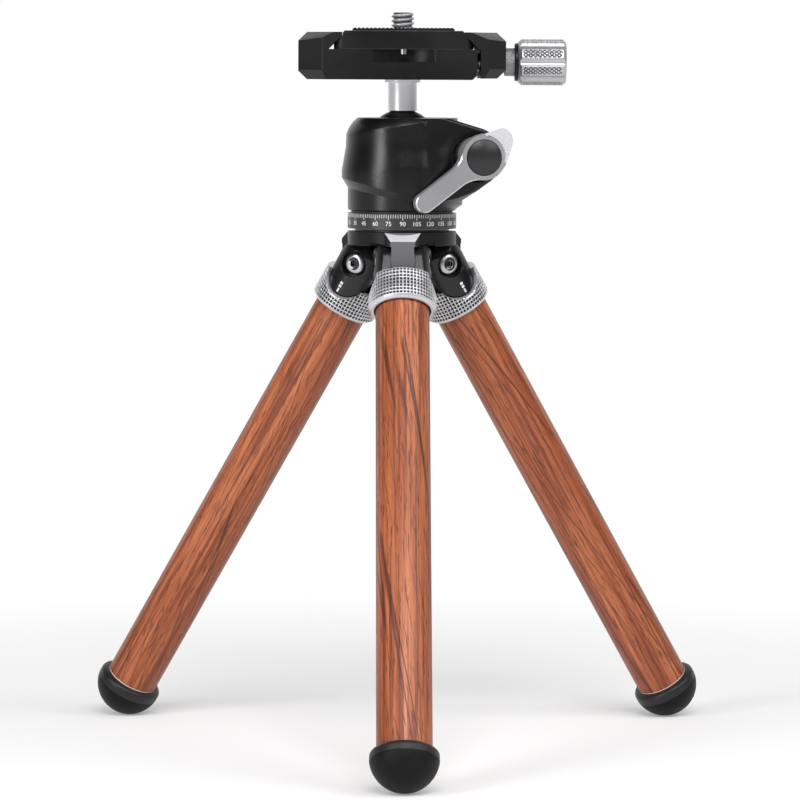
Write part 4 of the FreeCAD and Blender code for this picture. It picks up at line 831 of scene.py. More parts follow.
def merged_copy(node: str) -> bpy.types.Object:
    """A copy of a node with its loose triangles merged and its flat faces whole.

    Args:
        node: the node's name.

    Returns:
        The new object, in the node's place.
    """
    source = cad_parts[node].data
    corners = np.empty(len(source.loops), np.int32)
    source.loops.foreach_get("vertex_index", corners)
    mesh = bpy.data.meshes.new(node + "_shape")
    mesh.from_pydata(mesh_points(source).tolist(), [], corners.reshape(-1, 3).tolist())
    with editing(mesh) as work:
        bmesh.ops.remove_doubles(work, verts=work.verts, dist=NODE_WELD)
        bmesh.ops.dissolve_limit(
            work, angle_limit=math.radians(FLAT_ANGLE), verts=work.verts, edges=work.edges
        )
    piece = bpy.data.objects.new(node + "_shape", mesh)
    bpy.context.scene.collection.objects.link(piece)
    return piece


def face_data(mesh: bpy.types.Mesh) -> tuple[np.ndarray, np.ndarray, np.ndarray]:
    """Normals, centres in millimetres and areas in square millimetres of a mesh's faces.

    Args:
        mesh: the mesh.

    Returns:
        The normals, the centres and the areas.
    """
    count = len(mesh.polygons)
    normals = np.empty(count * 3, np.float32)
    centres = np.empty(count * 3, np.float32)
    areas = np.empty(count, np.float32)
    mesh.polygons.foreach_get("normal", normals)
    mesh.polygons.foreach_get("center", centres)
    mesh.polygons.foreach_get("area", areas)
    return normals.reshape(-1, 3), centres.reshape(-1, 3) / MM, areas / (MM * MM)


def sample_faces(node: str) -> tuple[np.ndarray, np.ndarray, np.ndarray]:
    """The faces' data of a throwaway copy, in the order of the copy that stays.

    Args:
        node: the node's name.

    Returns:
        The normals, the centres and the areas.
    """
    piece = merged_copy(node)
    data = face_data(piece.data)
    bpy.data.objects.remove(piece)
    return data


def refined(node: str, body: str, finishes: Sequence[Finish], edge: float = 0.0,
            sharp: float = 28.0, choice: np.ndarray | None = None) -> bpy.types.Object:
    """A merged copy of a node, smooth on its rounds and with its sharp edges just broken.

    Args:
        node: the node's name, which the copy stands for.
        body: the body that it rides on.
        finishes: its finishes.
        edge: width of the broken edges, or 0 where the node has its own.
        sharp: angle in degrees above which an edge counts as sharp.
        choice: for each face, which finish it has.

    Returns:
        The settled piece.
    """
    piece = merged_copy(node)
    mesh = piece.data
    mesh.shade_smooth()
    mesh.set_sharp_from_angle(angle=math.radians(sharp))
    settle(piece, body, finishes, [node])
    if choice is not None:
        mesh.polygons.foreach_set("material_index", choice.astype(np.int32))
    if edge > 0:
        bevel = piece.modifiers.new("broken edges", "BEVEL")
        bevel.width = edge * MM
        bevel.segments = 2
        bevel.limit_method = "ANGLE"
        bevel.angle_limit = math.radians(sharp)
        bevel.use_clamp_overlap = True
        # The broken edges take the last finish, which on the black parts is the painted edge
        # highlight.
        bevel.material = 0 if len(finishes) == 1 else len(finishes) - 1
    weighted = piece.modifiers.new("even shading", "WEIGHTED_NORMAL")
    weighted.keep_sharp = True
    return piece


@dataclass
class Leg:
    """One leg: the wooden tube, its foot, the fork with its pivot, and the locking collar."""

    side: str
    azimuth: float
    number: int
    spread: float = 32.4
    pivot_out: float = 11.0
    pivot_height: float = 132.7114
    tube_radius: float = 7.35
    tube_wall: float = 1.5
    tube_start: float = 12.0
    tube_end: float = 148.6
    tube_rounding: float = 0.25
    tube_rows: int = 92
    tube_columns: int = 96
    pale_line: tuple[float, float] = (144.3, 144.5)
    grain_slant: float = 9.5
    grain_step: float = 230.0
    collar_radius: float = 9.35
    collar_bore: float = 7.7
    collar_top: float = 5.6
    collar_bottom: float = 14.6
    collar_bevel: float = 0.9
    collar_rounding: float = 0.15
    notch_radius: float = 6.3
    notch_drop: float = 3.6
    rim_bevel: float = 0.65
    top_bevel: float = 0.2
    pit_columns: int = 60
    pit_rows: int = 8
    pit_depth: float = 0.45
    pit_points: tuple[float, ...] = (0.0, 0.12, 0.24, 0.5, 0.76, 0.88)
    pit_steps: int = 8
    pit_wall: tuple[float, float] = (0.22, 0.5)
    pit_fade: tuple[float, float] = (0.25, 0.2)
    notch_rise: tuple[float, float] = (0.05, 0.7)
    cheek_radius: float = 8.2
    mark_starts: tuple[float, ...] = (6.0, 7.0, 8.0)
    mark_ends: tuple[float, ...] = (6.7, 7.7, 9.2)
    mark_widths: tuple[float, ...] = (0.85, 0.85, 0.5)
    mark_root: float = 0.1
    mark_lift: float = 0.03
    foot_rim: float = 147.4
    socket_radius: float = 1.1
    socket_depth: float = 3.0
    fork_edge: float = 0.12
    pivot_edge: float = 0.08

    def place(self, points: np.ndarray) -> np.ndarray:
        """Moves points from the leg's drawing to the standing leg."""
        return leg_to_frame(points, self.azimuth, self.spread, (self.pivot_out, self.pivot_height))

    def direction(self, *axis: float) -> np.ndarray:
        """A direction of the leg's drawing, in the tripod's frame."""
        return self.place(np.array(axis)) - self.place(np.zeros(3))

    def tube(self) -> bpy.types.Object:
        """The tube: a turned ring profile with many rows, so that twisted grain stays true.

        The outer side runs down, the rounded lower end leads inside, and the inner side
        runs up. The grain's places are the points themselves, turned about the leg by an
        angle that grows with the distance along it.

        Returns:
            The tube.
        """
        outer = self.tube_radius
        inner = outer - self.tube_wall
        small = self.tube_rounding
        rows = np.linspace(self.tube_start + small, self.tube_end - small, self.tube_rows)
        near = np.array(self.pale_line)
        rows = np.sort(np.concatenate([rows, near]))
        down = np.stack([np.full_like(rows, outer), -rows], axis=-1)
        turn = np.array([[outer - small, -self.tube_end], [inner + small, -self.tube_end]])
        up = np.array([[inner, -self.tube_end + small], [inner, -self.tube_start - small],
                       [inner + small, -self.tube_start], [outer - small, -self.tube_start]])
        grid = turned_grid(np.concatenate([down, turn, up]), self.tube_columns)
        shift = np.array([0.0, 0.0, self.number * self.grain_step])
        grain = {"grain_straight": grid + shift}
        rate = math.tan(math.radians(self.grain_slant)) / outer
        angle = rate * grid[..., 2]
        x = grid[..., 0] * np.cos(angle) - grid[..., 1] * np.sin(angle)
        y = grid[..., 0] * np.sin(angle) + grid[..., 1] * np.cos(angle)
        grain["grain_slanted"] = np.stack([x, y, grid[..., 2]], axis=-1) + shift
        piece = grid_object(f"wood_tube_{self.side}", self.place(grid), True, attributes=grain)
        bounds = np.searchsorted(rows, near)
        index = np.zeros(grid.shape[:2], np.int32)
        index[:, bounds[0]:bounds[1]] = 1
        settle(piece, f"leg_{self.side}", [WOOD, PRINT], [f"leg_tube_{self.side}"])
        piece.data.polygons.foreach_set("material_index", index.reshape(-1))
        return piece

    def notch(self, x: np.ndarray) -> np.ndarray:
        """The collar's upper edge, as a distance from the pivot, at a place beside the leg."""
        inside = np.clip(self.notch_radius ** 2 - x ** 2, 0, None)
        return np.maximum(self.collar_top, self.notch_drop + np.sqrt(inside))

    def collar(self) -> bpy.types.Object:
        """The locking collar, with its square knurl as real pits.

        Each column is a closed loop: up the bore, over the rim's bevel, down the outer side,
        round the lower bevel. The outer radius drops in pits: a wave around times a wave
        along, both cut off flat, so that smooth bars are left between them.

        Returns:
            The collar.
        """
        turn = np.arange(self.pit_columns)[:, None] + np.array(self.pit_points)
        turn = turn.reshape(-1) / self.pit_columns
        angle = (turn * 2 * np.pi)[:, None]
        across = np.sin(angle)
        top_out = self.notch(self.collar_radius * across)
        top_in = self.notch(self.collar_bore * across)
        in_notch = smooth_step(*self.notch_rise, top_out - self.collar_top)
        bevel = self.top_bevel + (self.rim_bevel - self.top_bevel) * in_notch
        start = top_out + bevel
        end = self.collar_bottom - self.collar_bevel
        share = np.linspace(0, 1, self.pit_rows * self.pit_steps + 1)[None, :]
        along = start + (end - start) * share
        pitch = (end - self.collar_top) / self.pit_rows
        row = (end - along) / pitch
        around = smooth_step(*self.pit_wall, triangle_wave(turn * self.pit_columns)[:, None])
        down = smooth_step(*self.pit_wall, triangle_wave(row))
        above, below = self.pit_fade
        clear = smooth_step(0.0, above, along - start) * smooth_step(0.0, below, end - along)
        pits = around * down * clear
        radius = self.collar_radius - self.pit_depth * pits
        inner = np.full_like(angle, self.collar_bore)
        small = self.collar_rounding
        loop_radius = np.concatenate([
            inner, inner, np.minimum(inner + small, self.collar_radius - bevel),
            self.collar_radius - bevel, radius,
            np.full_like(angle, self.collar_radius - self.collar_bevel + small),
            np.full_like(angle, self.collar_radius - self.collar_bevel), inner + small,
        ], axis=1)
        loop_along = np.concatenate([
            np.full_like(angle, self.collar_bottom - small), top_in + small, top_in,
            self.notch((self.collar_radius - bevel) * across), along,
            np.full_like(angle, self.collar_bottom - small),
            np.full_like(angle, self.collar_bottom),
            np.full_like(angle, self.collar_bottom),
        ], axis=1)
        x = loop_radius * np.sin(angle)
        y = loop_radius * np.cos(angle)
        grid = np.stack([x, y, -loop_along], axis=-1)
        # The knurl's pits also carry painted shade through the attribute.
        piece = grid_object(
            f"knurled_collar_{self.side}", self.place(grid), True, sharp=50,
            attributes=hollow_mask(grid, pits, 4),
        )
        return settle(piece, f"collar_{self.side}", [KNURLED], [f"collar_{self.side}"])

    def foot_band(self) -> np.ndarray:
        """For each face of the foot's copy, 1 on the band above the rim and 0 on the dome.

        Returns:
            The faces' choice.
        """
        _, centres, _ = sample_faces(f"foot_{self.side}")
        along = (centres - self.place(np.zeros(3))) @ self.direction(0, 0, -1)
        return (along < self.foot_rim).astype(np.int32)

    def socket(self, node: str) -> np.ndarray:
        """For each face of a pivot part's copy, 1 in the key's socket and 0 elsewhere.

        Args:
            node: the pivot part's node.

        Returns:
            The faces' choice: those close to the pivot's axis and far from the leg's middle.
        """
        _, centres, _ = sample_faces(node)
        axis = self.direction(0, 1, 0)
        from_pivot = centres - self.place(np.zeros(3))
        along = from_pivot @ axis
        beside = from_pivot - along[:, None] * axis
        near = np.linalg.norm(beside, axis=1) < self.socket_radius
        return (near & (np.abs(along) > self.socket_depth)).astype(np.int32)

    def index_marks(self) -> bpy.types.Object:
        """The printed lines on both cheeks that show the collar's place.

        Returns:
            The marks.
        """
        parts = []
        for angle in (0.0, math.pi):
            parts.append(tab_boxes(
                np.full(len(self.mark_starts), angle), np.array(self.mark_widths),
                -np.array(self.mark_ends), -np.array(self.mark_starts),
                self.cheek_radius - self.mark_root, self.cheek_radius + self.mark_lift,
            ))
        points = np.concatenate([part[0] for part in parts])
        faces = np.concatenate([parts[0][1], parts[1][1] + len(parts[0][0])])
        piece = mesh_object(f"index_marks_{self.side}", self.place(points), faces)
        return settle(piece, f"leg_{self.side}", [PRINT])

    def build(self) -> None:
        """Builds and dresses the whole leg."""
        body = f"leg_{self.side}"
        self.tube()
        self.collar()
        self.index_marks()
        refined(
            f"foot_{self.side}", body, [RUBBER, RUBBER_BAND], sharp=40, choice=self.foot_band()
        )
        refined(f"fork_{self.side}", body, [FORK_BLACK], edge=self.fork_edge)
        # Each pivot part's key socket takes the near-black steel: painted shade in the recess.
        for node in (f"pivot_screw_{self.side}", f"pivot_sleeve_{self.side}"):
            refined(
                node, body, [SCREW_STEEL, SOCKET_PAINTED_SHADE, SCREW_STEEL], edge=self.pivot_edge,
                choice=self.socket(node),
            )
        dress(f"collar_seal_{self.side}", RUBBER)
        dress(f"foot_plug_{self.side}", STEEL)
        dress(f"pivot_washers_{self.side}", SLIP_PLASTIC)


@dataclass
class Hub:
    """The hub with its three lugs, and its centre screw."""

    lug_start: float = 14.2
    lug_half_width: float = 5.2
    facing_flat: float = 0.9
    facing_slant: float = 0.3
    edge: float = 0.15

    def build(self) -> None:
        """Builds the hub's copy: the lugs' outer faces are paler than the rest."""
        normals, centres, _ = sample_faces("hub")
        choice = np.zeros(len(centres), np.int32)
        for azimuth in LEG_AZIMUTHS.values():
            out = np.array([math.cos(math.radians(azimuth)), math.sin(math.radians(azimuth)), 0])
            beside = np.array([-out[1], out[0], 0])
            near = np.abs(centres @ beside) < self.lug_half_width
            near &= centres @ out > self.lug_start
            facing = normals @ out
            flat = facing > self.facing_flat
            slanted = ~flat & (facing > self.facing_slant) & (normals[:, 2] > self.facing_slant)
            choice[near & flat] = 1
            choice[near & slanted] = 2
        finishes = [BLACK, LUG_FACE, LUG_BEVEL, BLACK_PAINTED_GLINT]
        refined("hub", "base", finishes, edge=self.edge, choice=choice)
        refined("hub_screw", "base", [STEEL], edge=SMALL_EDGE)


@dataclass
class PanBase:
    """The graduated ring under the head."""

    radius: float = 15.0
    top: float = 146.91
    tick_step: float = 2.5
    long_every: int = 6
    tick_width: float = 0.13
    tick_short: float = 0.95
    tick_long: float = 1.45
    tick_drop: float = 0.15
    number_step: int = 15
    number_front: int = 90
    number_size: float = 1.7
    number_drop: float = 2.7
    lift: float = 0.03
    edge: float = 0.15

    def ticks(self) -> tuple[np.ndarray, np.ndarray]:
        """Points and faces of the tick marks all round the ring's upper edge.

        Returns:
            The points and the quads' corner numbers.
        """
        count = round(360 / self.tick_step)
        step = np.arange(count)
        length = np.where(step % self.long_every == 0, self.tick_long, self.tick_short)
        high = np.full(count, self.top - self.tick_drop)
        return tab_boxes(
            np.radians(step * self.tick_step), np.full(count, self.tick_width),
            high - length, high, self.radius - self.lift, self.radius + self.lift,
        )

    def number(self, value: int) -> tuple[np.ndarray, np.ndarray]:
        """Points and triangles of one number, wrapped on the ring.

        A point of the flat number goes round by its x over the radius, out by its depth,
        and up by its y.

        Args:
            value: the number.

        Returns:
            The points and the triangles' corner numbers.
        """
        text = bpy.data.curves.new("number", "FONT")
        text.body = str(value)
        text.size = self.number_size
        text.align_x = "CENTER"
        text.align_y = "CENTER"
        text.extrude = self.lift
        text.resolution_u = 3
        flat = bpy.data.objects.new("number", text)
        bpy.context.scene.collection.objects.link(flat)
        bpy.context.view_layer.update()
        mesh = bpy.data.meshes.new_from_object(flat)
        bpy.data.objects.remove(flat)
        with editing(mesh) as work:
            bmesh.ops.triangulate(work, faces=work.faces)
        points = mesh_points(mesh).astype(float)
        faces = np.empty(len(mesh.loops), np.int32)
        mesh.loops.foreach_get("vertex_index", faces)
        angle = math.radians(value - self.number_front) + points[:, 0] / self.radius
        radius = self.radius + points[:, 2]
        height = self.top - self.number_drop + points[:, 1]
        wrapped = np.stack([radius * np.sin(angle), -radius * np.cos(angle), height], axis=-1)
        return wrapped, faces.reshape(-1, 3)

    def build(self) -> None:
        """Builds the ring's copy, its ticks and its numbers."""
        refined("pan_base", "base", [PAN_BLACK, BLACK_PAINTED_GLINT], edge=self.edge)
        points, faces = self.ticks()
        settle(mesh_object("ring_ticks", points, faces), "base", [PRINT])
        all_points = []
        all_faces = []
        start = 0
        for value in range(0, 360, self.number_step):
            points, faces = self.number(value)
            all_points.append(points)
            all_faces.append(faces + start)
            start += len(points)
        piece = mesh_object("ring_numbers", np.concatenate(all_points), np.concatenate(all_faces))
        settle(piece, "base", [PRINT])


@dataclass
class BallHead:
    """The housing with the ball, its stem, and the pieces inside."""

    edge: float = 0.12
    stem_edge: float = 0.08

    def build(self) -> None:
        """Builds the visible pieces' copies and dresses what sits inside."""
        refined("housing", "head", [HOUSING_BLACK], edge=self.edge)
        refined("ball", "ball", [BLACK], sharp=35)
        refined("stem", "ball", [POLISHED], edge=self.stem_edge)
        refined("clamp_nut", "head", [STEEL], edge=SMALL_EDGE)
        dress("pan_washer", WASHER_BLACK)
        for node in ("ball_cup", "lever_washer"):
            dress(node, SLIP_PLASTIC)
        for node in ("pan_retainer", "cup_spring", "cup_nut", "clamp_screw"):
            dress(node, STEEL)


@dataclass
class Lever:
    """The two-armed lever with its cap and bolt."""

    turn: float = 15.0
    bevel_area: float = 6.0
    ear_height: float = 165.0
    facing_flat: float = 0.93
    facing_ear: float = 0.6
    facing_bevel: float = 0.3

    def build(self) -> None:
        """Builds the lever's copy with brighter bevelled edges, a paler ear in painted light, and
        the domed cap.
        """
        ahead = np.array([math.sin(math.radians(self.turn)), -math.cos(math.radians(self.turn)), 0])
        normals, centres, areas = sample_faces("lever")
        facing = normals @ ahead
        slanted = facing < self.facing_flat
        small = areas < self.bevel_area
        choice = (slanted & small & (facing > self.facing_bevel)).astype(np.int32)
        # Painted light: the ear's faces, which turn up toward the light, get a paler grey.
        high = centres[:, 2] > self.ear_height
        choice[slanted & ~small & high & (facing > self.facing_ear)] = 2
        refined("lever", "lever", [GREY, GREY_EDGE, GREY_EAR_PAINTED_LIGHT], choice=choice)
        refined("lever_cap", "lever", [CAP_PLASTIC], sharp=40)
        dress("clamp_bolt", STEEL)


@dataclass
class Clamp:
    """The quick-release clamp: body, jaw, and the knob with its screw."""

    edge: float = 0.35
    knob_height: float = 188.51
    knob_radius: float = 6.4
    knob_start: float = 31.8
    knob_end: float = 45.0
    knob_bevel: float = 0.9
    flutes: int = 8
    flute_radius: float = 1.5
    flute_depth: float = 0.55
    flute_land: float = 1.25
    land_fade: float = 0.25
    knurl_around: int = 40
    knurl_pitch: float = 1.3
    knurl_depth: float = 0.35
    knurl_steepness: float = 2.2
    knurl_inset: tuple[float, float] = (1.15, 1.5)
    dish_depth: float = 0.25
    dish_radii: tuple[float, float] = (4.6, 4.3)
    columns_per_flute: int = 48
    knob_rows: int = 109
    bush_radius: float = 3.85
    bush_bore: float = 2.6
    bush_start: float = 28.0
    bush_end: float = 30.9
    bush_bevel: tuple[float, float] = (0.25, 0.1)
    bush_around: int = 44
    bush_pitch: float = 0.6
    bush_depth: float = 0.12
    bush_steepness: float = 1.5
    bush_shade: float = 0.7
    bush_columns: int = 264
    bush_rows: int = 29

    def knob(self) -> bpy.types.Object:
        """The knob: a turned bar with flutes, end bevels and a diamond knurl on its lands.

        The radius is the least of three: where a ray leaves the flute's circle, the end
        bevel's cone, and the full radius less the knurl. The knurl is the lower of two
        slanted triangle waves.

        Returns:
            The knob.
        """
        columns = self.flutes * self.columns_per_flute
        turn = np.linspace(0, 1, columns, endpoint=False)[:, None]
        angle = turn * 2 * np.pi
        sector = 2 * np.pi / self.flutes
        off = (angle + sector / 2) % sector - sector / 2
        centre = self.knob_radius + self.flute_radius - self.flute_depth
        hit = self.flute_radius ** 2 - (centre * np.sin(off)) ** 2
        flute = centre * np.cos(off) - np.sqrt(np.clip(hit, 0, None))
        flute = np.where(hit > 0, flute, self.knob_radius)
        fluted = np.minimum(flute, self.knob_radius)
        rows = np.linspace(self.knob_start, self.knob_end, self.knob_rows)[None, :]
        margin = np.minimum(rows - self.knob_start, self.knob_end - rows)
        cone = self.knob_radius - np.clip(self.knob_bevel - margin, 0, None)
        crest = diamond_crest(
            turn, rows - self.knob_start, self.knurl_around, self.knurl_pitch,
            self.knurl_steepness,
        )
        beside = np.abs(off) * self.knob_radius - self.flute_land
        land = smooth_step(0.0, self.land_fade, beside)
        pits = (1 - crest) * land * smooth_step(*self.knurl_inset, margin)
        knurl = self.knob_radius - self.knurl_depth * pits
        radius = np.minimum(np.minimum(fluted, cone), knurl)
        centre_line = np.zeros_like(turn)
        rim, floor = (np.full_like(turn, value) for value in self.dish_radii)
        loop_radius = np.concatenate([
            centre_line, radius[:, :1] / 2, radius, rim, floor, centre_line,
        ], axis=1)
        start = np.full_like(turn, self.knob_start)
        end = np.full_like(turn, self.knob_end)
        dish = end - self.dish_depth
        loop_along = np.concatenate([
            start, start, np.broadcast_to(rows, radius.shape), end, dish, dish,
        ], axis=1)
        grid = turned_grid(np.stack([loop_radius, loop_along], axis=-1), columns)
        # The knurl's pits carry painted shade through the attribute.
        piece = grid_object(
            "fluted_knob", aimed_right(grid, self.knob_height), False, sharp=40,
            attributes=hollow_mask(grid, pits, 2),
        )
        return settle(piece, "knob", [KNOB_SILVER], ["knob"])

    def bush(self) -> bpy.types.Object:
        """The silver bush with its fine knurl, a ring turned about the knob's axis.

        Returns:
            The bush.
        """
        turn = np.linspace(0, 1, self.bush_columns, endpoint=False)[:, None]
        inward, along = self.bush_bevel
        rows = np.linspace(self.bush_start + along, self.bush_end - along, self.bush_rows)[None, :]
        pits = 1 - diamond_crest(
            turn, rows, self.bush_around, self.bush_pitch, self.bush_steepness
        )
        radius = self.bush_radius - self.bush_depth * pits
        bore = np.full_like(turn, self.bush_bore)
        corner = np.full_like(turn, self.bush_radius - inward)
        start = np.full_like(turn, self.bush_start)
        end = np.full_like(turn, self.bush_end)
        loop_radius = np.concatenate([bore, corner, radius, corner, bore], axis=1)
        loop_along = np.concatenate([
            start, start, np.broadcast_to(rows, radius.shape), end, end,
        ], axis=1)
        grid = turned_grid(np.stack([loop_radius, loop_along], axis=-1), self.bush_columns)
        # The pits carry painted shade through the attribute, at bush_shade's strength.
        piece = grid_object(
            "knurled_bush", aimed_right(grid, self.knob_height), True, sharp=45,
            attributes=hollow_mask(grid, self.bush_shade * pits, 2),
        )
        return settle(piece, "knob", [KNOB_SILVER], ["jaw_bush"])

    def build(self) -> None:
        """Builds and dresses the whole clamp."""
        refined("clamp_body", "clamp", [BLACK, BLACK_PAINTED_GLINT], edge=self.edge)
        refined("clamp_jaw", "jaw", [BLACK, BLACK_PAINTED_GLINT], edge=self.edge)
        refined("knob_ring", "knob", [BLACK], edge=SMALL_EDGE)
        refined("guide_pins", "jaw", [STEEL], edge=SMALL_EDGE)
        self.knob()
        self.bush()
        dress("jaw_screw", STEEL)
        dress("jaw_springs", STEEL)


@dataclass
class Plate:
    """The quick-release plate with its pad and the camera screw."""

    edge: float = 0.15
    pad_relief: float = 0.25
    stud_pitch: float = 1.1
    stud_foot: float = 0.85
    stud_head: float = 0.55
    stud_root: float = 0.1
    stud_margin: float = 0.15
    corner_margin: float = 0.75
    pad_corner: float = 2.2
    hole_radius: float = 5.6
    screw_radius: float = 3.175
    thread_pitch: float = 1.27
    thread_depth: float = 0.7
    thread_start: float = 196.5
    thread_columns: int = 96
    thread_rows: int = 78
    thread_shape: tuple[float, float] = (1.35, 0.12)
    head_sharp: float = 30.0
    screw_top: float = 202.01
    screw_tip: float = 0.6
    tip_rounding: tuple[float, float] = (0.1, 0.02)
    head_overlap: float = 0.1

    def pad(self) -> None:
        """The rubber pad: a copy of the node with its top lowered, and rows of studs on it.

        Each stud is a cut-off pyramid: four corners below and four nearer together above.
        """
        low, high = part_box("plate_pad")
        base = merged_copy("plate_pad")
        points = mesh_points(base.data)
        top = points[:, 2] > high[2] - self.stud_root * MM
        points[top, 2] -= self.pad_relief * MM
        base.data.vertices.foreach_set("co", points.reshape(-1))
        base.data.update()
        base.name = "pad_base"
        settle(base, "plate", [RUBBER], ["plate_pad"])
        half_x = (high[0] - low[0]) / MM / 2
        half_y = (high[1] - low[1]) / MM / 2
        middle = ((high[0] + low[0]) / MM / 2, (high[1] + low[1]) / MM / 2)
        margin = self.stud_foot / 2 + self.stud_margin
        steps_x = int((half_x - margin) / self.stud_pitch)
        steps_y = int((half_y - margin) / self.stud_pitch)
        x, y = np.meshgrid(np.arange(-steps_x, steps_x + 1), np.arange(-steps_y, steps_y + 1))
        x = x.reshape(-1) * self.stud_pitch
        y = y.reshape(-1) * self.stud_pitch
        clear = np.hypot(x, y) > self.hole_radius + self.stud_foot
        in_corner = np.hypot(
            np.clip(np.abs(x) - (half_x - self.pad_corner), 0, None),
            np.clip(np.abs(y) - (half_y - self.pad_corner), 0, None),
        )
        clear &= in_corner < self.pad_corner - self.stud_foot * self.corner_margin
        x = x[clear] + middle[0]
        y = y[clear] + middle[1]
        side_x = np.array([-1, 1, 1, -1, -1, 1, 1, -1]) / 2
        side_y = np.array([-1, -1, 1, 1, -1, -1, 1, 1]) / 2
        width = np.array([self.stud_foot] * 4 + [self.stud_head] * 4)
        top_height = high[2] / MM
        low_height = top_height - self.pad_relief - self.stud_root
        level = np.array([low_height] * 4 + [top_height] * 4)
        studs = np.stack([
            x[:, None] + side_x * width, y[:, None] + side_y * width,
            np.broadcast_to(level, (len(x), 8)),
        ], axis=-1)
        settle(mesh_object("pad_studs", studs, box_faces(len(x))), "plate", [RUBBER])

    def screw(self) -> None:
        """The camera screw: a threaded stud, and the node's own head with a notched rim.

        The stud's radius is the full one less the thread's depth, by a triangle wave of
        height over pitch minus the share of a turn, and the tip's cone cuts it off.
        """
        turn = np.linspace(0, 1, self.thread_columns, endpoint=False)[:, None]
        inward, below = self.tip_rounding
        rows = np.linspace(self.thread_start, self.screw_top - below, self.thread_rows)[None, :]
        wave = triangle_wave(rows / self.thread_pitch - turn)
        steepness, floor = self.thread_shape
        crest = np.clip(steepness * wave - floor, 0, 1)
        radius = self.screw_radius - self.thread_depth * (1 - crest)
        cone = self.screw_radius - np.clip(self.screw_tip - (self.screw_top - rows), 0, None)
        radius = np.minimum(radius, cone)
        axis = np.zeros_like(turn)
        top = np.full_like(turn, self.screw_top)
        loop_radius = np.concatenate([axis, radius, radius[:, -1:] - inward, axis], axis=1)
        loop_height = np.concatenate([
            axis + self.thread_start, np.broadcast_to(rows, radius.shape), top, top,
        ], axis=1)
        grid = turned_grid(np.stack([loop_radius, loop_height], axis=-1), self.thread_columns)
        # The thread's grooves carry painted shade through the attribute.
        stud = grid_object(
            "camera_screw_stud", grid, False, sharp=60,
            attributes=hollow_mask(grid, (1 - crest) ** 2, 1),
        )
        settle(stud, "camera_screw", [KNURLED], ["camera_screw"])
        head = merged_copy("camera_screw")
        head.name = "camera_screw_head"
        with editing(head.data) as work:
            cut = bmesh.ops.bisect_plane(
                work, geom=[*work.verts, *work.edges, *work.faces], clear_outer=True,
                plane_co=(0, 0, (self.thread_start + self.head_overlap) * MM), plane_no=(0, 0, 1),
            )
            rim = [item for item in cut["geom_cut"] if isinstance(item, bmesh.types.BMEdge)]
            bmesh.ops.holes_fill(work, edges=rim, sides=0)
        head.data.shade_smooth()
        head.data.set_sharp_from_angle(angle=math.radians(self.head_sharp))
        settle(head, "camera_screw", [SILVER])

    def build(self) -> None:
        """Builds and dresses the plate and what it carries."""
        refined("plate", "plate", [BLACK, BLACK_PAINTED_GLINT], edge=self.edge)
        refined("plate_stops", "plate", [STEEL], edge=SMALL_EDGE)
        self.pad()
        self.screw()
        dress("screw_clip", STEEL)


@dataclass(frozen=True)
class Lamp:
    """A soft rectangular lamp, placed by its direction as seen from the tripod.

    The turn runs from the camera's side toward the right and the rise up from level, both
    in degrees. Lengths are in metres and the power is in watts.
    """

    name: str
    turn: float
    rise: float
    distance: float
    width: float
    height: float
    power: float

    def build(self, target: Vector) -> None:
        """Makes the lamp: it stands back from the target by its distance and faces it.

        Args:
            target: the point that the lamp faces.
        """
        turn = math.radians(self.turn)
        rise = math.radians(self.rise)
        back = Vector((
            math.sin(turn) * math.cos(rise), -math.cos(turn) * math.cos(rise), math.sin(rise),
        ))
        data = bpy.data.lights.new(self.name, "AREA")
        data.shape = "RECTANGLE"
        data.size = self.width
        data.size_y = self.height
        data.energy = self.power
        lamp = bpy.data.objects.new(self.name, data)
        facing = (-back).to_track_quat("-Z", "Y").to_matrix().to_4x4()
        lamp.matrix_world = Matrix.Translation(target + back * self.distance) @ facing
        bpy.context.scene.collection.objects.link(lamp)


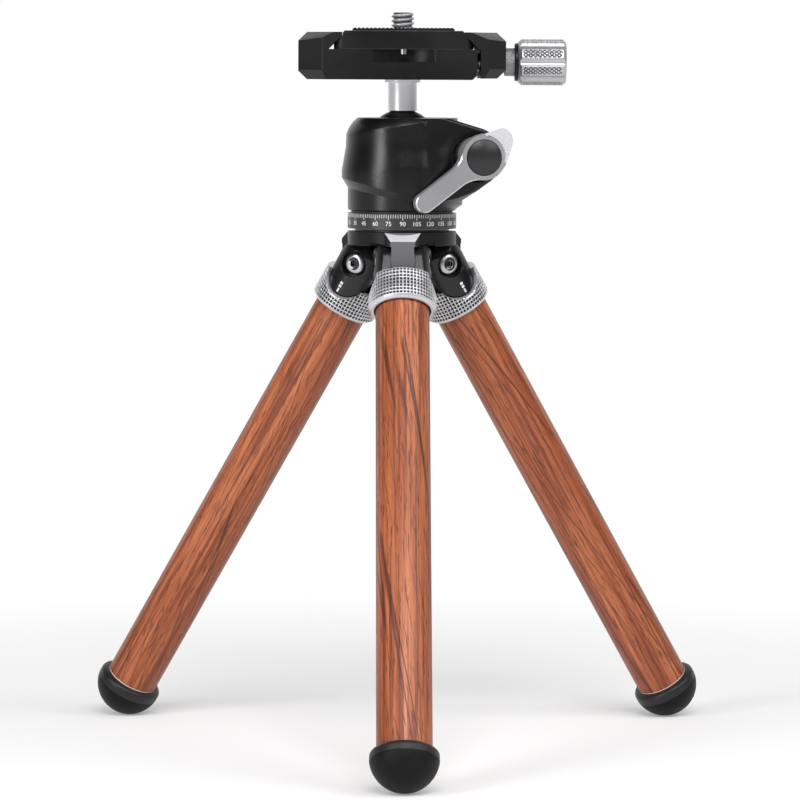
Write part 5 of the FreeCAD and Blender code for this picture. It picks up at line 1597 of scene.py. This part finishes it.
@dataclass
class Studio:
    """The floor, the soft lamps, the white surroundings and the camera."""

    lens: float = 192.7
    sensor: float = 36.0
    camera_place: tuple[float, float, float] = (-0.01793, -1.18446, 0.1888)
    heading: float = -0.0149
    pitch: float = 0.0791
    roll: float = 0.0049
    floor_half: float = 6.0
    floor_shadow: float = 0.13
    floor_white: float = 0.32
    floor_veil: float = 0.25
    floor_tints: tuple[float, float] = (0.93, 0.95)
    floor_mottle: float = 3.0
    floor_roughness: float = 0.8
    floor_gloss: float = 0.1
    ambient: float = 0.32
    dark_side: float = 0.05
    white_start: float = 0.25
    white_end: float = 0.80
    target: tuple[float, float, float] = (0.0, 0.0, 0.13)
    lamps: tuple[Lamp, ...] = (
        Lamp("key", -46.0, 20.0, 1.3, 0.34, 1.0, 9.0),
        Lamp("side", 60.0, 36.0, 1.3, 0.8, 0.8, 7.0),
        Lamp("front", 5.0, 42.0, 1.2, 0.7, 0.45, 8.5),
    )

    def camera(self) -> None:
        """The camera at the photograph's place: forward, right and up from three angles."""
        forward = Vector((
            -math.sin(self.heading) * math.cos(self.pitch),
            math.cos(self.heading) * math.cos(self.pitch),
            -math.sin(self.pitch),
        ))
        right = forward.cross(Vector((0, 0, 1))).normalized()
        up = right.cross(forward)
        right_rolled = right * math.cos(self.roll) + up * math.sin(self.roll)
        up_rolled = up * math.cos(self.roll) - right * math.sin(self.roll)
        turned = Matrix((right_rolled, up_rolled, -forward)).transposed()
        data = bpy.data.cameras.new("camera")
        data.lens = self.lens
        data.sensor_width = self.sensor
        data.clip_end = 50
        camera = bpy.data.objects.new("camera", data)
        camera.matrix_world = Matrix.Translation(self.camera_place) @ turned.to_4x4()
        bpy.context.scene.collection.objects.link(camera)
        bpy.context.scene.camera = camera

    def surroundings(self) -> None:
        """A white room for the camera, and a plain grey one for the light that it gives.

        Reflections find it white behind the tripod and dark on the camera's side: the
        strength follows the direction's Y.
        """
        world = bpy.data.worlds.new("surroundings")
        world.use_nodes = True
        bpy.context.scene.world = world
        wiring = Wiring(world.node_tree)
        world.node_tree.nodes.clear()
        rays = wiring.add("ShaderNodeLightPath").outputs
        direction = wiring.add("ShaderNodeSeparateXYZ")
        place = wiring.add("ShaderNodeTexCoord").outputs["Generated"]
        wiring.link(place, direction.inputs[0])
        behind = wiring.ramp(
            direction.outputs[1], self.white_start, self.white_end, self.dark_side, 1.0
        )
        mirrored = wiring.sum_of("MULTIPLY", rays["Is Glossy Ray"], behind)
        seen = wiring.sum_of("MAXIMUM", rays["Is Camera Ray"], rays["Is Transmission Ray"])
        traced = wiring.sum_of("MAXIMUM", seen, rays["Is Glossy Ray"])
        others = wiring.sum_of("SUBTRACT", 1.0, traced)
        soft = wiring.sum_of("MULTIPLY", others, self.ambient)
        strength = wiring.sum_of("MAXIMUM", wiring.sum_of("MAXIMUM", seen, mirrored), soft)
        background = wiring.add("ShaderNodeBackground")
        background.inputs["Color"].default_value = (1, 1, 1, 1)
        wiring.link(strength, background.inputs["Strength"])
        output = wiring.add("ShaderNodeOutputWorld")
        wiring.link(background.outputs[0], output.inputs["Surface"])

    def floor(self) -> None:
        """A pale floor under the feet, which runs out into the white of the surroundings.

        Away from the feet, rays from the camera and from reflections find plain white. The
        share grows with the distance from the axis, so the feet keep their shadows.
        """
        half = self.floor_half
        mesh = bpy.data.meshes.new("floor")
        mesh.from_pydata(
            [(-half, -half, 0), (half, -half, 0), (half, half, 0), (-half, half, 0)], [],
            [(0, 1, 2, 3)],
        )
        floor = bpy.data.objects.new("floor", mesh)
        bpy.context.scene.collection.objects.link(floor)
        material, wiring, shader = new_material("floor_paint")
        place = wiring.add("ShaderNodeTexCoord").outputs["Object"]
        first, second = ((tint,) * 3 for tint in self.floor_tints)
        mottle = wiring.noise(place, self.floor_mottle, 2.0)
        wiring.link(wiring.blend(mottle, first, second), shader.inputs["Base Color"])
        shader.inputs["Roughness"].default_value = self.floor_roughness
        shader.inputs["Specular IOR Level"].default_value = self.floor_gloss
        distance = wiring.add("ShaderNodeVectorMath", operation="LENGTH")
        wiring.link(place, distance.inputs[0])
        far = wiring.ramp(
            distance.outputs["Value"], self.floor_shadow, self.floor_white, self.floor_veil, 1.0
        )
        rays = wiring.add("ShaderNodeLightPath").outputs
        seen = wiring.sum_of("MAXIMUM", rays["Is Camera Ray"], rays["Is Glossy Ray"])
        seen = wiring.sum_of("MAXIMUM", seen, rays["Is Transmission Ray"])
        white = wiring.add("ShaderNodeEmission")
        white.inputs["Color"].default_value = (1, 1, 1, 1)
        white.inputs["Strength"].default_value = 1.0
        mixed = wiring.add("ShaderNodeMixShader")
        wiring.link(wiring.sum_of("MULTIPLY", seen, far), mixed.inputs[0])
        wiring.link(shader.outputs[0], mixed.inputs[1])
        wiring.link(white.outputs[0], mixed.inputs[2])
        output = material.node_tree.nodes["Material Output"]
        wiring.link(mixed.outputs[0], output.inputs["Surface"])
        mesh.materials.append(material)

    def build(self) -> None:
        """Sets up the whole studio."""
        bpy.context.scene.view_settings.view_transform = "Standard"
        self.camera()
        self.surroundings()
        self.floor()
        for lamp in self.lamps:
            lamp.build(Vector(self.target))


def main() -> None:
    """Builds the tripod's parts in order, then the studio."""
    logging.basicConfig(level=logging.INFO, format="%(message)s")
    for number, (side, azimuth) in enumerate(LEG_AZIMUTHS.items()):
        Leg(side, azimuth, number).build()
    Hub().build()
    PanBase().build()
    BallHead().build()
    Lever().build()
    Clamp().build()
    Plate().build()
    Studio().build()


if __name__ == "__main__":
    main()
